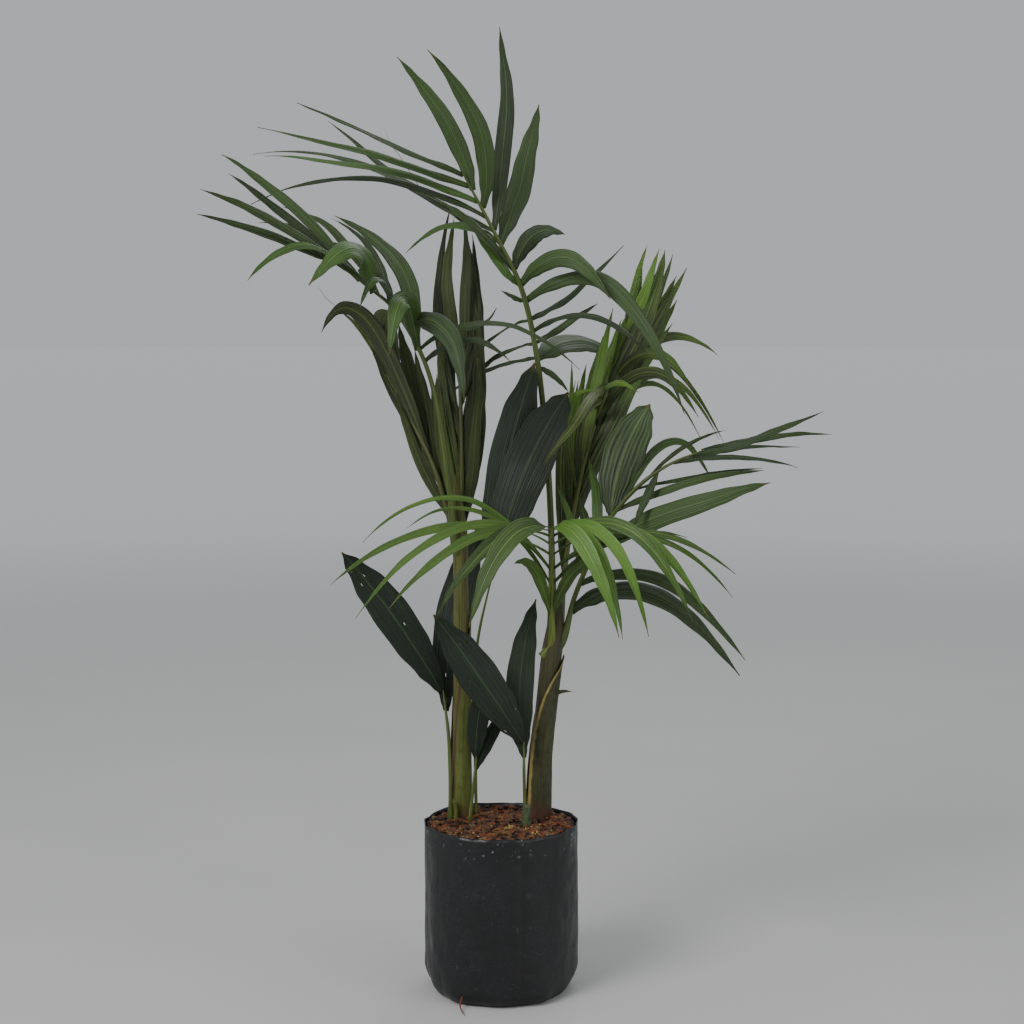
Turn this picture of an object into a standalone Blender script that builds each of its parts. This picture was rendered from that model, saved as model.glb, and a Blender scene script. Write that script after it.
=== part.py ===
"""Potted palm: two young feather palms and their seedling leaves in a black planter bag.

The frame is +Z up, in metres. The origin is the middle of the bag's flat bottom and the plants' show side
faces -Y. Lengths inside the foliage are in growth units: one unit is 1 cm at the present palm height, and
each palm's own coordinates start where it meets the soil.
"""

from collections import namedtuple
from math import cos, pi, radians, sin

import bmesh
import bpy
from mathutils import Vector

# Driving dimensions, in metres.
PALM_HEIGHT = 0.947
BAG_DIAMETER = 0.182
BAG_HEIGHT = 0.203
FILM = 0.0008
BAG_CORNER = 0.014
RIM_ABOVE_SOIL = 0.006
SOIL_CROWN = 0.003
DRAIN_HOLE = 0.006
DRAIN_ROW_HEIGHTS = (0.028, 0.052)
DRAIN_HOLES_PER_ROW = 8
PLANTING_MARGIN = 0.0237
PLANTING_DEPTH = 0.035
LEFT_STEM_RADIUS = 0.0115
RIGHT_STEM_RADIUS = 0.0135
SHEATH_WALL = 0.0012
PETIOLE_WIDTH = 0.0065
RACHIS_TIP_WIDTH = 0.0022
BLADE_THICKNESS = 0.0008
LEAFLET_BASE = 0.007
GAP = 0.0003

# How the growth unit, the bag's inside and the planting places follow from them.
UNIT = PALM_HEIGHT / 94.7
BAG_RADIUS = BAG_DIAMETER / 2
SOIL_RADIUS = BAG_RADIUS - FILM - GAP
SOIL_LEVEL = BAG_HEIGHT - RIM_ABOVE_SOIL
PLANTING_RADIUS = BAG_RADIUS - PLANTING_MARGIN
LEFT_BEARING = radians(137)
RIGHT_BEARING = radians(46.8)

Leaflet = namedtuple("Leaflet", "side at tip bow width turn")
# side: L or R of the rachis; at: percent of the way up it; tip: where the leaflet ends and bow: how far its
# middle stands off the straight line, in growth units (right, back, up); width in mm at the present height;
# turn: degrees by which the blade's face looks up rather than forward.


def clear_scene():
    for obj in list(bpy.data.objects):
        bpy.data.objects.remove(obj, do_unlink=True)


def make_material(name, colour, roughness):
    material = bpy.data.materials.new(name)
    material.use_nodes = True
    shader = material.node_tree.nodes["Principled BSDF"]
    shader.inputs["Base Color"].default_value = (*colour, 1)
    shader.inputs["Roughness"].default_value = roughness
    shader.inputs["Metallic"].default_value = 0
    return material


def make_object(name, bm, material):
    mesh = bpy.data.meshes.new(name)
    bm.to_mesh(mesh)
    bm.free()
    mesh.materials.append(material)
    mesh.shade_smooth()
    mesh.set_sharp_from_angle(angle=radians(40))
    obj = bpy.data.objects.new(name, mesh)
    bpy.context.scene.collection.objects.link(obj)
    return obj


def cut(target, cutter):
    """Takes the cutter's shape out of the target."""
    cutter.hide_render = True
    cutter.display_type = "WIRE"
    boolean = target.modifiers.new("cut by " + cutter.name, "BOOLEAN")
    boolean.operation = "DIFFERENCE"
    boolean.solver = "EXACT"
    boolean.object = cutter


# The bag and its soil.


def turned(profile, steps):
    """A closed solid: the profile (radius, height), from the axis round to the axis again, spun about Z."""
    bm = bmesh.new()
    points = [bm.verts.new((radius, 0, height)) for radius, height in profile]
    edges = [bm.edges.new(pair) for pair in zip(points, points[1:])]
    bmesh.ops.spin(
        bm, geom=points + edges, axis=(0, 0, 1), cent=(0, 0, 0), angle=2 * pi, steps=steps, use_merge=True
    )
    bmesh.ops.remove_doubles(bm, verts=bm.verts, dist=1e-6)
    bmesh.ops.recalc_face_normals(bm, faces=bm.faces)
    return bm


def corner(radius, corner_radius, bottom, steps=3):
    """Points of a quarter round from the flat bottom up to the wall."""
    angles = [pi / 2 * step / steps for step in range(steps + 1)]
    return [
        (radius - corner_radius * (1 - sin(a)), bottom + corner_radius * (1 - cos(a)))
        for a in angles
    ]


def make_planter_bag():
    outer = corner(BAG_RADIUS, BAG_CORNER, 0)
    inner = corner(BAG_RADIUS - FILM, BAG_CORNER - FILM, FILM)
    rim = [(BAG_RADIUS, BAG_HEIGHT), (BAG_RADIUS - FILM, BAG_HEIGHT)]
    bm = turned([(0, 0), *outer, *rim, *reversed(inner), (0, FILM)], steps=48)
    film = make_material("black polythene film", (0.012, 0.013, 0.015), 0.45)
    bag = make_object("planter_bag", bm, film)
    cut(bag, make_drain_punches())
    return bag


def make_drain_punches():
    """The punched holes round the lower wall, in rows set half a pitch apart."""
    bm = bmesh.new()
    pitch = 2 * pi / DRAIN_HOLES_PER_ROW
    for row, height in enumerate(DRAIN_ROW_HEIGHTS):
        for hole in range(DRAIN_HOLES_PER_ROW):
            bearing = pitch * (hole + 0.5 * row)
            made = bmesh.ops.create_cone(
                bm, cap_ends=True, segments=8, radius1=DRAIN_HOLE / 2, radius2=DRAIN_HOLE / 2, depth=8 * FILM
            )
            away = Vector((cos(bearing), sin(bearing), 0))
            turn = away.to_track_quat("Z", "Y").to_matrix()
            bmesh.ops.rotate(bm, verts=made["verts"], matrix=turn)
            bmesh.ops.translate(bm, verts=made["verts"], vec=away * BAG_RADIUS + Vector((0, 0, height)))
    return make_object("drain_punches", bm, make_material("punch", (0.5, 0.5, 0.5), 0.5))


def make_potting_mix(planting_holes):
    bottom = FILM + GAP
    wall = corner(SOIL_RADIUS, BAG_CORNER - FILM - GAP, bottom)
    crown = [(SOIL_RADIUS, SOIL_LEVEL - SOIL_CROWN), (SOIL_RADIUS * 0.93, SOIL_LEVEL)]
    bm = turned([(0, bottom), *wall, *crown, (0, SOIL_LEVEL)], steps=36)
    bark = make_material("bark potting mix", (0.055, 0.030, 0.020), 0.95)
    mix = make_object("potting_mix", bm, bark)
    for hole in planting_holes:
        cut(mix, hole)
    return mix


# Stems, petioles and leaflets are grown by extruding an end face along a route.


def smooth_route(points, pieces=12):
    """A Catmull-Rom curve through the points, as a fine list of points."""
    ends = [points[0] * 2 - points[1], *points, points[-1] * 2 - points[-2]]
    fine = []
    for before, start, end, after in zip(ends, ends[1:], ends[2:], ends[3:]):
        for piece in range(pieces):
            t = piece / pieces
            fine.append(
                0.5
                * (
                    2 * start
                    + (end - before) * t
                    + (2 * before - 5 * start + 4 * end - after) * t**2
                    + (3 * start - before - 3 * end + after) * t**3
                )
            )
    return [*fine, points[-1].copy()]


class Route:
    """A smooth route that can be read at any share of its length."""

    def __init__(self, points):
        self.fine = smooth_route(points)
        self.runs = [0.0]
        for start, end in zip(self.fine, self.fine[1:]):
            self.runs.append(self.runs[-1] + (end - start).length)
        self.length = self.runs[-1]

    def at(self, share):
        """Place and direction at a share of the length, straight on past either end."""
        run = share * self.length
        last = len(self.fine) - 2
        index = next((i for i in range(last) if self.runs[i + 1] > run), last)
        if run < 0:
            index = 0
        start = self.fine[index]
        direction = (self.fine[index + 1] - start).normalized()
        return start + direction * (run - self.runs[index]), direction


def across(direction):
    """The sideways and backward directions of a section square to the direction."""
    side = Vector((0, 1, 0)).cross(direction).normalized()
    return side, direction.cross(side)


def extrude_face(bm, face, places):
    """Extrudes one face and puts its new corners at the places given, in the face's corner order."""
    grown = bmesh.ops.extrude_discrete_faces(bm, faces=[face])["faces"][0]
    for vert, place in zip(grown.verts, places):
        vert.co = place
    return grown


def grow_rod(bm, route, stations, width_at, sides):
    """A solid rod of many-sided sections along the route. Returns its rings of corners, lowest first."""

    def ring_places(share):
        centre, direction = route.at(share)
        side, back = across(direction)
        half = width_at(share) / 2 / cos(pi / sides)
        turns = [2 * pi * (corner_index + 0.5) / sides - pi for corner_index in range(sides)]
        return [centre + (side * cos(a) + back * sin(a)) * half for a in turns]

    first = [bm.verts.new(place) for place in ring_places(stations[0])]
    face = bm.faces.new(first)
    rings = [first]
    for share in stations[1:]:
        face = extrude_face(bm, face, ring_places(share))
        rings.append(list(face.verts))
    bm.faces.new(list(reversed(first)))
    return rings


def taper(widths):
    """Width as a function of the share of the length, straight between widths at even shares."""

    def width_at(share):
        place = max(0.0, min(share, 1.0)) * (len(widths) - 1)
        step = min(int(place), len(widths) - 2)
        return widths[step] + (widths[step + 1] - widths[step]) * (place - step)

    return width_at


def make_rod(name, points, widths, sides, material, rings=14):
    bm = bmesh.new()
    grow_rod(bm, Route(points), [i / rings for i in range(rings + 1)], taper(widths), sides)
    bmesh.ops.recalc_face_normals(bm, faces=bm.faces)
    return make_object(name, bm, material)


def make_sheath(name, points, widths, top_share, opening, material, rings=6):
    """A dry leaf base: a thin shell wrapped round a stem, open along one side and slanting to a point."""
    route = Route(points)
    width_at = taper(widths)
    base_share = PLANTING_DEPTH / route.length + 0.01
    steps = 9

    def section(share, wrap):
        centre, direction = route.at(share)
        side, back = across(direction)
        inner = width_at(share) / 2 * 1.05 + 4 * GAP
        turns = [opening + pi + wrap * (2 * step / steps - 1) for step in range(steps + 1)]
        wall = [side * cos(a) + back * sin(a) for a in turns]
        outer = inner + SHEATH_WALL
        return [centre + w * outer for w in wall] + [centre + w * inner for w in reversed(wall)]

    bm = bmesh.new()
    wraps = [radians(140) * (1 - 0.75 * (ring / rings) ** 3) for ring in range(rings + 1)]
    first = [bm.verts.new(place) for place in section(base_share, wraps[0])]
    face = bm.faces.new(first)
    for ring in range(1, rings + 1):
        share = base_share + (top_share - base_share) * ring / rings
        face = extrude_face(bm, face, section(share, wraps[ring]))
    bm.faces.new(list(reversed(first)))
    bmesh.ops.recalc_face_normals(bm, faces=bm.faces)
    return make_object(name, bm, material)


# Leaflet sections: share of the length, share of the width, share of the thickness.
STRAP = (
    (0.12, 0.62, 1.0),
    (0.34, 1.0, 1.0),
    (0.60, 0.94, 0.9),
    (0.84, 0.56, 0.8),
    (1.0, 0.10, 0.6),
)
LOBE = ((0.10, 0.55, 1.0), (0.30, 0.92, 1.0), (0.55, 1.0, 0.9), (0.82, 0.62, 0.8), (1.0, 0.05, 0.6))
THINNEST_TIP = 0.0012


def grow_leaflet(bm, face, corner_signs, root, upward, leaflet, to_world, sections):
    """Grows one leaflet out of a side face of the rachis, section by section.

    The width starts along the rachis and is carried round with each bend, so that the blade never turns over.
    """
    tip = to_world(leaflet.tip)
    bow = Vector(leaflet.bow) * UNIT
    reach = tip - root
    facing = Vector((0, -cos(radians(leaflet.turn)), sin(radians(leaflet.turn))))
    hand = 1 if leaflet.side == "R" else -1
    last_direction = across(upward)[0] * hand
    last_width = upward
    for number, (t, width_share, thickness_share) in enumerate(sections):
        centre = root + reach * t + bow * (4 * t * (1 - t))
        direction = (reach + bow * (4 - 8 * t)).normalized()
        carried = last_direction.rotation_difference(direction) @ last_width
        wide = direction.cross(facing).normalized()
        if wide.dot(carried) < 0:
            wide = -wide
        wide = wide + carried * (1 if number == 0 else 0.15)
        wide = (wide - direction * wide.dot(direction)).normalized()
        normal = direction.cross(wide) * hand
        last_direction = direction
        last_width = wide
        half_width = max(leaflet.width * UNIT * 0.1 * width_share, THINNEST_TIP) / 2
        half_thick = BLADE_THICKNESS * thickness_share / 2
        places = [centre + wide * half_width * up + normal * half_thick * front for up, front in corner_signs]
        lower_edge = [vert for vert, (up, _) in zip(face.verts, corner_signs) if up < 0]
        face = extrude_face(bm, face, places)
        upper_edge = [vert for vert, (up, _) in zip(face.verts, corner_signs) if up > 0]
        # A blade twists, so its two faces are split along the same diagonal to stay one thickness apart.
        bmesh.ops.connect_verts(bm, verts=lower_edge + upper_edge)


def make_frond(name, foot, stalk, leaflets, colour, petiole=PETIOLE_WIDTH, sections=STRAP):
    """One leaf as it grew: petiole, rachis and leaflets in a single body."""

    def to_world(place):
        return foot + Vector(place) * UNIT

    route = Route([to_world(place) for place in stalk])
    half_base = LEAFLET_BASE / 2 / route.length
    sites = sorted({leaflet.at / 100 for leaflet in leaflets})
    stations = [0.0]
    for number, site in enumerate(sites):
        bare = site - stations[-1]
        joints = int(bare * route.length / (6 * UNIT))
        stations += [stations[-1] + bare * (j + 1) / (joints + 1) for j in range(joints)]
        after = sites[number + 1] - site if number + 1 < len(sites) else 1
        before = site - sites[number - 1] if number else 1
        half = min(half_base, 0.42 * after, 0.42 * before)
        stations += [site - half, site + half]

    def width_at(share):
        return petiole + (RACHIS_TIP_WIDTH - petiole) * max(0.0, min(share, 1.0))

    bm = bmesh.new()
    rings = grow_rod(bm, route, stations, width_at, sides=4)
    for leaflet in leaflets:
        site = leaflet.at / 100
        lower = max(i for i, share in enumerate(stations) if share < site)
        front, behind = (1, 2) if leaflet.side == "R" else (0, 3)
        below, above = rings[lower], rings[lower + 1]
        corners = {
            below[front]: (-1, 1),
            below[behind]: (-1, -1),
            above[behind]: (1, -1),
            above[front]: (1, 1),
        }
        face = bm.faces.get(list(corners))
        signs = [corners[vert] for vert in face.verts]
        upward = route.at(site)[1]
        root = face.calc_center_median()
        grow_leaflet(bm, face, signs, root, upward, leaflet, to_world, sections)
    bmesh.ops.recalc_face_normals(bm, faces=bm.faces)
    return make_object(name, bm, make_material(name + " green", colour, 0.5))


def planted_at(bearing, aside=(0, 0)):
    """A place on the soil, the planting radius out along a bearing, then aside by growth units."""
    middle = Vector((cos(bearing), sin(bearing), 0)) * PLANTING_RADIUS
    return middle + Vector((aside[0] * UNIT, aside[1] * UNIT, SOIL_LEVEL))


# The left palm: a stem of rolled sheaths, three fronds and its basal leaves.

ARCHING_STALK = (
    (-0.6, -0.9, 34.25),
    (-1.7, -2.7, 45),
    (-3.6, -4, 54.5),
    (-7, -6.5, 61.3),
    (-10.5, -9.5, 64.6),
    (-13.7, -12, 67.3),
)
ARCHING_LEAFLETS = (
    Leaflet("R", 56, (6, -12, 56), (0, -1, 2.5), 12, 50),
    Leaflet("R", 60, (14, -13, 55), (0, -1.5, 4.5), 11, 55),
    Leaflet("L", 60, (-7.5, -17, 56.5), (0, -1.5, 6), 27, 15),
    Leaflet("R", 64, (-15, 2, 73), (3, 0.5, 1.5), 22, 30),
    Leaflet("R", 68, (1, -18, 51.5), (1, -1, 4), 27, 20),
    Leaflet("L", 71, (-10.7, -17, 62), (0, -1, 4), 13, 40),
    Leaflet("R", 73, (4.5, -7, 62), (2, 1, -2), 10, 40),
    Leaflet("R", 75.5, (-17, 4, 70), (1.5, 1, 1.5), 12, 35),
    Leaflet("R", 78, (-15, -2.5, 72.5), (1.5, 0, 1), 9, 40),
    Leaflet("R", 82, (-21, 0, 74), (1, 0.5, 1.5), 11, 35),
    Leaflet("L", 84, (-16, -21, 64.5), (1.5, -1, 4.5), 32, 30),
    Leaflet("R", 87, (-23.5, -3, 72), (0, 0.5, 2), 9, 35),
    Leaflet("L", 90, (-22.8, -20, 65), (0, -1, 4), 15, 50),
    Leaflet("R", 92, (-27, -9, 79.5), (0, 0, 1.5), 13, 35),
    Leaflet("R", 96, (-25.5, -14, 77), (0, -0.5, 0.5), 11, 35),
    Leaflet("L", 96, (-28, -19, 75), (0, -0.5, 1), 12, 35),
    Leaflet("L", 99, (-29, -15.5, 72.5), (0, 0.5, 0.5), 12, 35),
)

HOOKED_STALK = (
    (-0.7, 0.7, 34.3),
    (-2.9, 1.5, 42),
    (-5.7, 3, 48),
    (-7.6, 4.2, 52),
    (-9.2, 5.5, 55.2),
)
HOOKED_LEAFLETS = (
    Leaflet("L", 12, (-8, 3.5, 52), (-0.5, 0.5, 0), 14, 15),
    Leaflet("R", 12, (-3.6, 4.5, 54), (0, 0.3, 0), 14, 15),
    Leaflet("R", 30, (-5.7, 7, 57), (0, 0.5, 0), 16, 20),
    Leaflet("L", 30, (-11.2, 6, 57.5), (-0.5, 1, 1), 14, 15),
    Leaflet("L", 44, (-16.8, 3, 59), (-1, 2, 9), 22, 10),
    Leaflet("R", 50, (-7.8, 9.5, 60), (0, 0.5, 0), 22, 15),
    Leaflet("L", 75, (-15, 10, 61.5), (0, 0.5, 1.5), 9, 10),
    Leaflet("R", 85, (-10.3, 5, 57), (-0.5, 2, 6), 24, 10),
)

LEFT_NEW_STALK = ((0.4, 0.6, 34.2), (0.2, 1.5, 44), (0, 3.2, 53), (-0.1, 5, 60))
LEFT_NEW_LEAFLETS = (
    Leaflet("L", 6, (-2.3, 1.5, 52), (-0.6, 0, 0), 15, 10),
    Leaflet("R", 6, (2.4, 0.8, 54), (0.4, 0, 0), 15, 10),
    Leaflet("L", 20, (-2.6, 4, 58), (-0.5, 0, 0), 15, 5),
    Leaflet("R", 20, (1.6, 2.6, 59), (1, 0, 0), 16, 5),
    Leaflet("R", 36, (2, 5.5, 65), (1, 0, 0), 15, 0),
    Leaflet("L", 36, (-2.1, 8.5, 64), (-0.5, 0.5, 0), 17, 5),
    Leaflet("L", 55, (-1.3, 10, 74.5), (-2, 0, 0), 12, 0),
    Leaflet("R", 62, (1.4, 7.5, 71), (1.2, 0, 0), 13, 0),
    Leaflet("L", 75, (-0.8, 7.5, 73), (-1, 0, 0), 16, 0),
    Leaflet("R", 84, (0.5, 5.5, 73), (0.5, -0.5, 0), 14, 0),
)

DARK_BIFID_STALK = (
    (1.9, 0.1, 0),
    (1.8, 0.1, 14),
    (2.1, -1.3, 21.5),
    (3.4, -3.3, 28),
    (4.6, -4.5, 32.6),
)
DARK_BIFID_LOBES = (
    Leaflet("L", 91, (9, -1.5, 55.5), (-0.8, 0.5, 0), 46, 5),
    Leaflet("R", 98, (13, -2.3, 52), (-1, 0, 0.5), 58, 10),
)

LEFT_BIFID_STALK = (
    (-1.2, -1.1, 0),
    (-1.2, -1.2, 5),
    (-1.4, -1.1, 10),
    (-1.8, -0.7, 13.5),
    (-2.1, -0.2, 15.7),
)
LEFT_BIFID_LOBES = (
    Leaflet("R", 84, (3, 4.5, 36), (-1.4, 3.6, 0), 44, 5),
    Leaflet("L", 98, (-14, -4, 33), (0, 0, 1), 46, 10),
)

SMALL_BIFID_STALK = ((1.2, -2.6, 0), (1.4, -2.5, 2.5), (1.7, -2.5, 5), (2, -2.4, 8))
SMALL_BIFID_LOBES = (
    Leaflet("R", 78, (6, -0.5, 14), (0, 0.5, 0.5), 16, 10),
    Leaflet("L", 97, (3.2, -3.2, 17.5), (-0.3, 0, 0.3), 26, 5),
)

# The right palm: a thicker stem, four fronds, a basal leaf and two small bracts.

TALL_STALK = (
    (1.6, 0.9, 21.7),
    (1.5, 1, 35.7),
    (0.7, 0.5, 48),
    (-0.4, -0.5, 57),
    (-2.2, -2, 64.5),
    (-5.4, -3.5, 71),
    (-9, -4.5, 77.7),
)
TALL_LEAFLETS = (
    Leaflet("R", 57, (3.5, -2, 52), (0, 0, 0.5), 8, 30),
    Leaflet("L", 59, (-11.5, 9.5, 51), (0, 3, 1), 10, 45),
    Leaflet("R", 59, (11.4, 19, 54.5), (0, 1, 2.7), 34, 30),
    Leaflet("L", 62, (-8, 8.5, 53.5), (0, 3, 0.5), 10, 45),
    Leaflet("R", 62, (7, 0, 62.5), (0, 0, 0), 10, 40),
    Leaflet("R", 64.5, (12.5, -12, 56.5), (0, 0, 3.3), 12, 50),
    Leaflet("L", 67, (-8.5, 8.5, 56), (0, 3, 0.5), 9, 45),
    Leaflet("R", 67, (10.3, 4, 69.5), (-0.5, 0, -1), 13, 70),
    Leaflet("L", 71, (-4.5, -4, 64), (0, 0, 0), 8, 30),
    Leaflet("R", 71, (16.3, -15, 50), (1, 0, 8), 21, 25),
    Leaflet("L", 74.5, (-8.5, -2, 72.5), (0.5, -1, -1), 12, 40),
    Leaflet("R", 74.5, (8, -11, 63), (0, 0, 4), 23, 15),
    Leaflet("L", 78, (-12, -5, 74.5), (0, -1, 1), 14, 45),
    Leaflet("R", 78, (3, -6, 70.5), (-0.7, 0, 2), 22, 10),
    Leaflet("L", 81, (-35.5, 12, 81), (0, 1, 4.5), 13, 50),
    Leaflet("L", 84, (-16, 0.5, 68.5), (0, 0.5, 3), 11, 40),
    Leaflet("R", 84, (0, 5, 86.5), (0.4, 0, 0), 28, 10),
    Leaflet("L", 87, (-26, 11, 85), (0, 0, -1), 13, 50),
    Leaflet("R", 87, (-4.7, -3, 94.7), (1, 0, 0), 20, 10),
    Leaflet("L", 90, (-35, 5, 74.5), (0, 0, 4), 12, 50),
    Leaflet("R", 92, (-12.8, -12, 91), (2.8, 0, 0), 22, 10),
    Leaflet("L", 93.5, (-32.7, 0.5, 80), (0, 0, 1.5), 15, 55),
    Leaflet("R", 96, (-16.6, -5, 91), (1.4, 0, 0), 21, 10),
    Leaflet("L", 97, (-32.5, -8, 82.7), (0, 0, 0.7), 17, 55),
    Leaflet("L", 99.5, (-27.5, -13, 85), (0, -0.5, 0.5), 15, 60),
)

RIGHT_NEW_STALK = (
    (2.4, 1.3, 21.75),
    (3.3, 2.5, 30.7),
    (4.5, 4, 38),
    (6.6, 6.5, 46.5),
    (9.3, 9, 53.2),
    (12.2, 11.5, 58.7),
)
RIGHT_NEW_LEAFLETS = (
    Leaflet("L", 20, (4.6, 7, 53), (-1, 0, 0), 13, 5),
    Leaflet("L", 30, (4.2, 9.5, 55.5), (0, 0.5, 0), 10, 5),
    Leaflet("R", 32, (11.5, 8.5, 53), (0, 0, 1), 16, 5),
    Leaflet("L", 38, (6, 8.5, 55), (-0.6, 0.4, 0.5), 15, 5),
    Leaflet("L", 46, (7, -2, 52), (-2.3, 0, 3.8), 10, 20),
    Leaflet("R", 50, (20.8, 15, 45.5), (0, 1.2, 9), 9, 30),
    Leaflet("L", 53, (9.2, 7, 62), (-0.3, 0, 0), 15, 5),
    Leaflet("R", 57, (22.8, 11, 45.5), (0, 1.5, 9), 10, 30),
    Leaflet("L", 62, (11.9, 14, 62), (-0.4, 0.4, 0.2), 13, 5),
    Leaflet("R", 62, (18.7, 12.5, 67), (0, 0, -0.5), 20, 0),
    Leaflet("R", 67, (19, -2, 49), (0, -1.5, 6), 15, 20),
    Leaflet("L", 70, (11.8, -3, 52), (-1, -1.5, 2.5), 11, 30),
    Leaflet("R", 72, (17.1, 15, 68.7), (1, 0.4, 0), 14, 0),
    Leaflet("L", 76, (0.6, -11.5, 44), (1, -6, 2.5), 10, 40),
    Leaflet("R", 77, (15.8, 10.5, 69.2), (1, -0.5, 0), 25, 0),
    Leaflet("L", 81, (0, -12.5, 43.5), (0.7, -6, 2.5), 13, 40),
    Leaflet("R", 82, (18.3, 1, 52.5), (0, 0, 3.8), 16, 25),
    Leaflet("R", 87, (22.8, 14, 56), (0, 0.8, 3.2), 13, 20),
    Leaflet("L", 88, (15, 9, 69.2), (0, -0.4, 0), 15, 0),
    Leaflet("R", 92, (23.5, 12, 45), (0, 2, 4), 7, 30),
    Leaflet("L", 94, (13.7, 12, 69.8), (-0.5, 0, 0), 11, 0),
    Leaflet("R", 97, (13.2, 14, 67.7), (0, 0, 0), 9, 0),
)

FRONT_STALK = (
    (1.6, -0.6, 21.8),
    (1.5, -2, 27.6),
    (1.5, -5, 32.2),
    (1.4, -9, 35),
    (1.3, -13, 36.6),
    (1.2, -17, 37.3),
)
FRONT_LEAFLETS = (
    Leaflet("L", 13, (-3, -11, 32.5), (0.3, 0, 2.3), 14, 0),
    Leaflet("R", 13, (7.2, -9, 32.5), (-0.3, 0, 2), 14, 0),
    Leaflet("L", 30, (-15.5, -10, 36.5), (0.5, -2, 5.5), 7, 40),
    Leaflet("R", 30, (17, -11, 35.5), (0, -1, 3), 9, 45),
    Leaflet("L", 39, (-20.5, -11, 35), (0, -1, 7), 10, 45),
    Leaflet("R", 39, (22.5, -13, 31.5), (0, -1, 4.7), 10, 45),
    Leaflet("L", 50, (-24, -14.5, 30.5), (0, -1, 5), 12, 45),
    Leaflet("R", 50, (22, -14.5, 29), (0, -1, 5), 10, 45),
    Leaflet("L", 60, (-21, -17.5, 27), (0, -1, 6), 13, 40),
    Leaflet("R", 60, (19, -17.5, 27), (1, -1, 5.5), 15, 40),
    Leaflet("L", 70, (-17, -19.5, 28.5), (0, -1, 4), 14, 35),
    Leaflet("R", 70, (17, -19.5, 27), (1, -1, 5.5), 17, 35),
    Leaflet("L", 81, (-11.5, -21.5, 28), (-0.5, -1, 3.5), 16, 35),
    Leaflet("R", 81, (12, -21, 25.5), (1, -1, 5), 15, 30),
    Leaflet("R", 89, (9, -23, 25.5), (1, -1, 4), 14, 25),
    Leaflet("L", 95, (-8, -24, 27), (-0.5, -1, 4), 25, 25),
    Leaflet("R", 98, (8.5, -25, 26), (0, -1, 4), 20, 20),
)

SIDE_STALK = (
    (2.9, 0.1, 21.7),
    (4.3, -0.6, 27),
    (6.1, -1.8, 31.8),
    (7.5, -2.8, 35.5),
    (11.2, -3.8, 40.3),
    (15, -4.5, 43.3),
    (19.5, -5, 45.3),
)
SIDE_LEAFLETS = (
    Leaflet("R", 12, (23.2, -12, 19.5), (-0.5, 0, 6), 28, 40),
    Leaflet("R", 24, (23.5, -15, 21.8), (0, -0.5, 5), 18, 35),
    Leaflet("L", 28, (2, -2, 41), (0.5, 0, 0), 10, 10),
    Leaflet("L", 35, (5, 0.6, 39), (0.2, 0, 0), 15, 5),
    Leaflet("R", 40, (26.5, -12, 42), (0, -1, 1), 27, 30),
    Leaflet("L", 44, (6, 0, 44), (0.4, 0, 0), 13, 5),
    Leaflet("L", 55, (13.3, -1, 50.5), (-1, 0, 0), 50, 5),
    Leaflet("R", 58, (26.5, -6.5, 43), (0, 0, 1), 12, 45),
    Leaflet("L", 65, (21.2, 3, 41), (0, 1.5, 5.5), 11, 30),
    Leaflet("R", 69, (26.5, -4, 43), (0, 0.5, 0.5), 6, 45),
    Leaflet("L", 76, (22, -4, 47.5), (0, 1, 1), 6, 45),
    Leaflet("R", 80, (11, -8, 36.5), (0, 0, 0), 10, 20),
    Leaflet("R", 87, (30, -9, 43.5), (0, 0, 1), 9, 50),
    Leaflet("L", 90, (32, 4, 45), (0, 1, 0.5), 7, 50),
    Leaflet("R", 95, (33, -8.5, 50), (0, 0, -0.5), 13, 50),
    Leaflet("L", 99, (34.8, -3, 47), (0, 0.5, 0.5), 10, 50),
)

MIDDLE_BIFID_STALK = ((-1.7, -3.8, 0), (-1.7, -3.8, 3), (-1.8, -4.2, 6.5), (-1.8, -4.6, 10.2))
MIDDLE_BIFID_LOBES = (
    Leaflet("R", 80, (-0.3, 2, 26.5), (-1.2, -0.3, 0), 34, 5),
    Leaflet("L", 98, (-12.5, -7.5, 26), (0, -0.5, 0.5), 48, 10),
)

LEAF_GREEN = (0.045, 0.115, 0.030)
DARK_GREEN = (0.020, 0.055, 0.022)
BRIGHT_GREEN = (0.075, 0.190, 0.035)
STEM_OLIVE = (0.110, 0.105, 0.030)
SHEATH_BROWN = (0.150, 0.085, 0.040)
LEFT_SWELLING = (0.9, 1, 0.85, 0.75, 0.65, 0.85)
RIGHT_SWELLING = (0.9, 1, 0.95, 0.85, 0.85, 1)
LEFT_STEM_ROUTE = ((0, 0, 0), (0.1, 0, 14), (0.1, 0, 26), (0, 0, 34.1))
RIGHT_STEM_ROUTE = ((0, 0, 0), (0.2, 0, 6.8), (0.9, 0, 14), (1.8, 0.2, 21.6))
BASAL_PETIOLE = 0.0040
BASAL_DEPTH = 0.018
DRY_STUB = ((-0.6, -1.9, 0), (-0.5, -1.9, 1.2), (-0.8, -2, 2.6))
DRY_STUB_WIDTH = 0.0055
GREEN_STUB = ((-1.5, -4.9, 0), (-1.5, -4.9, 1), (-1.4, -5, 2))
GREEN_STUB_WIDTH = 0.0045
STUB_DEPTH = 0.008
BRACT = ((1.03, -0.1, 15.3), (1.85, -0.3, 15.6), (2.95, -0.5, 15.4))
BRACT_WIDTH = 0.0040


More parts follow.
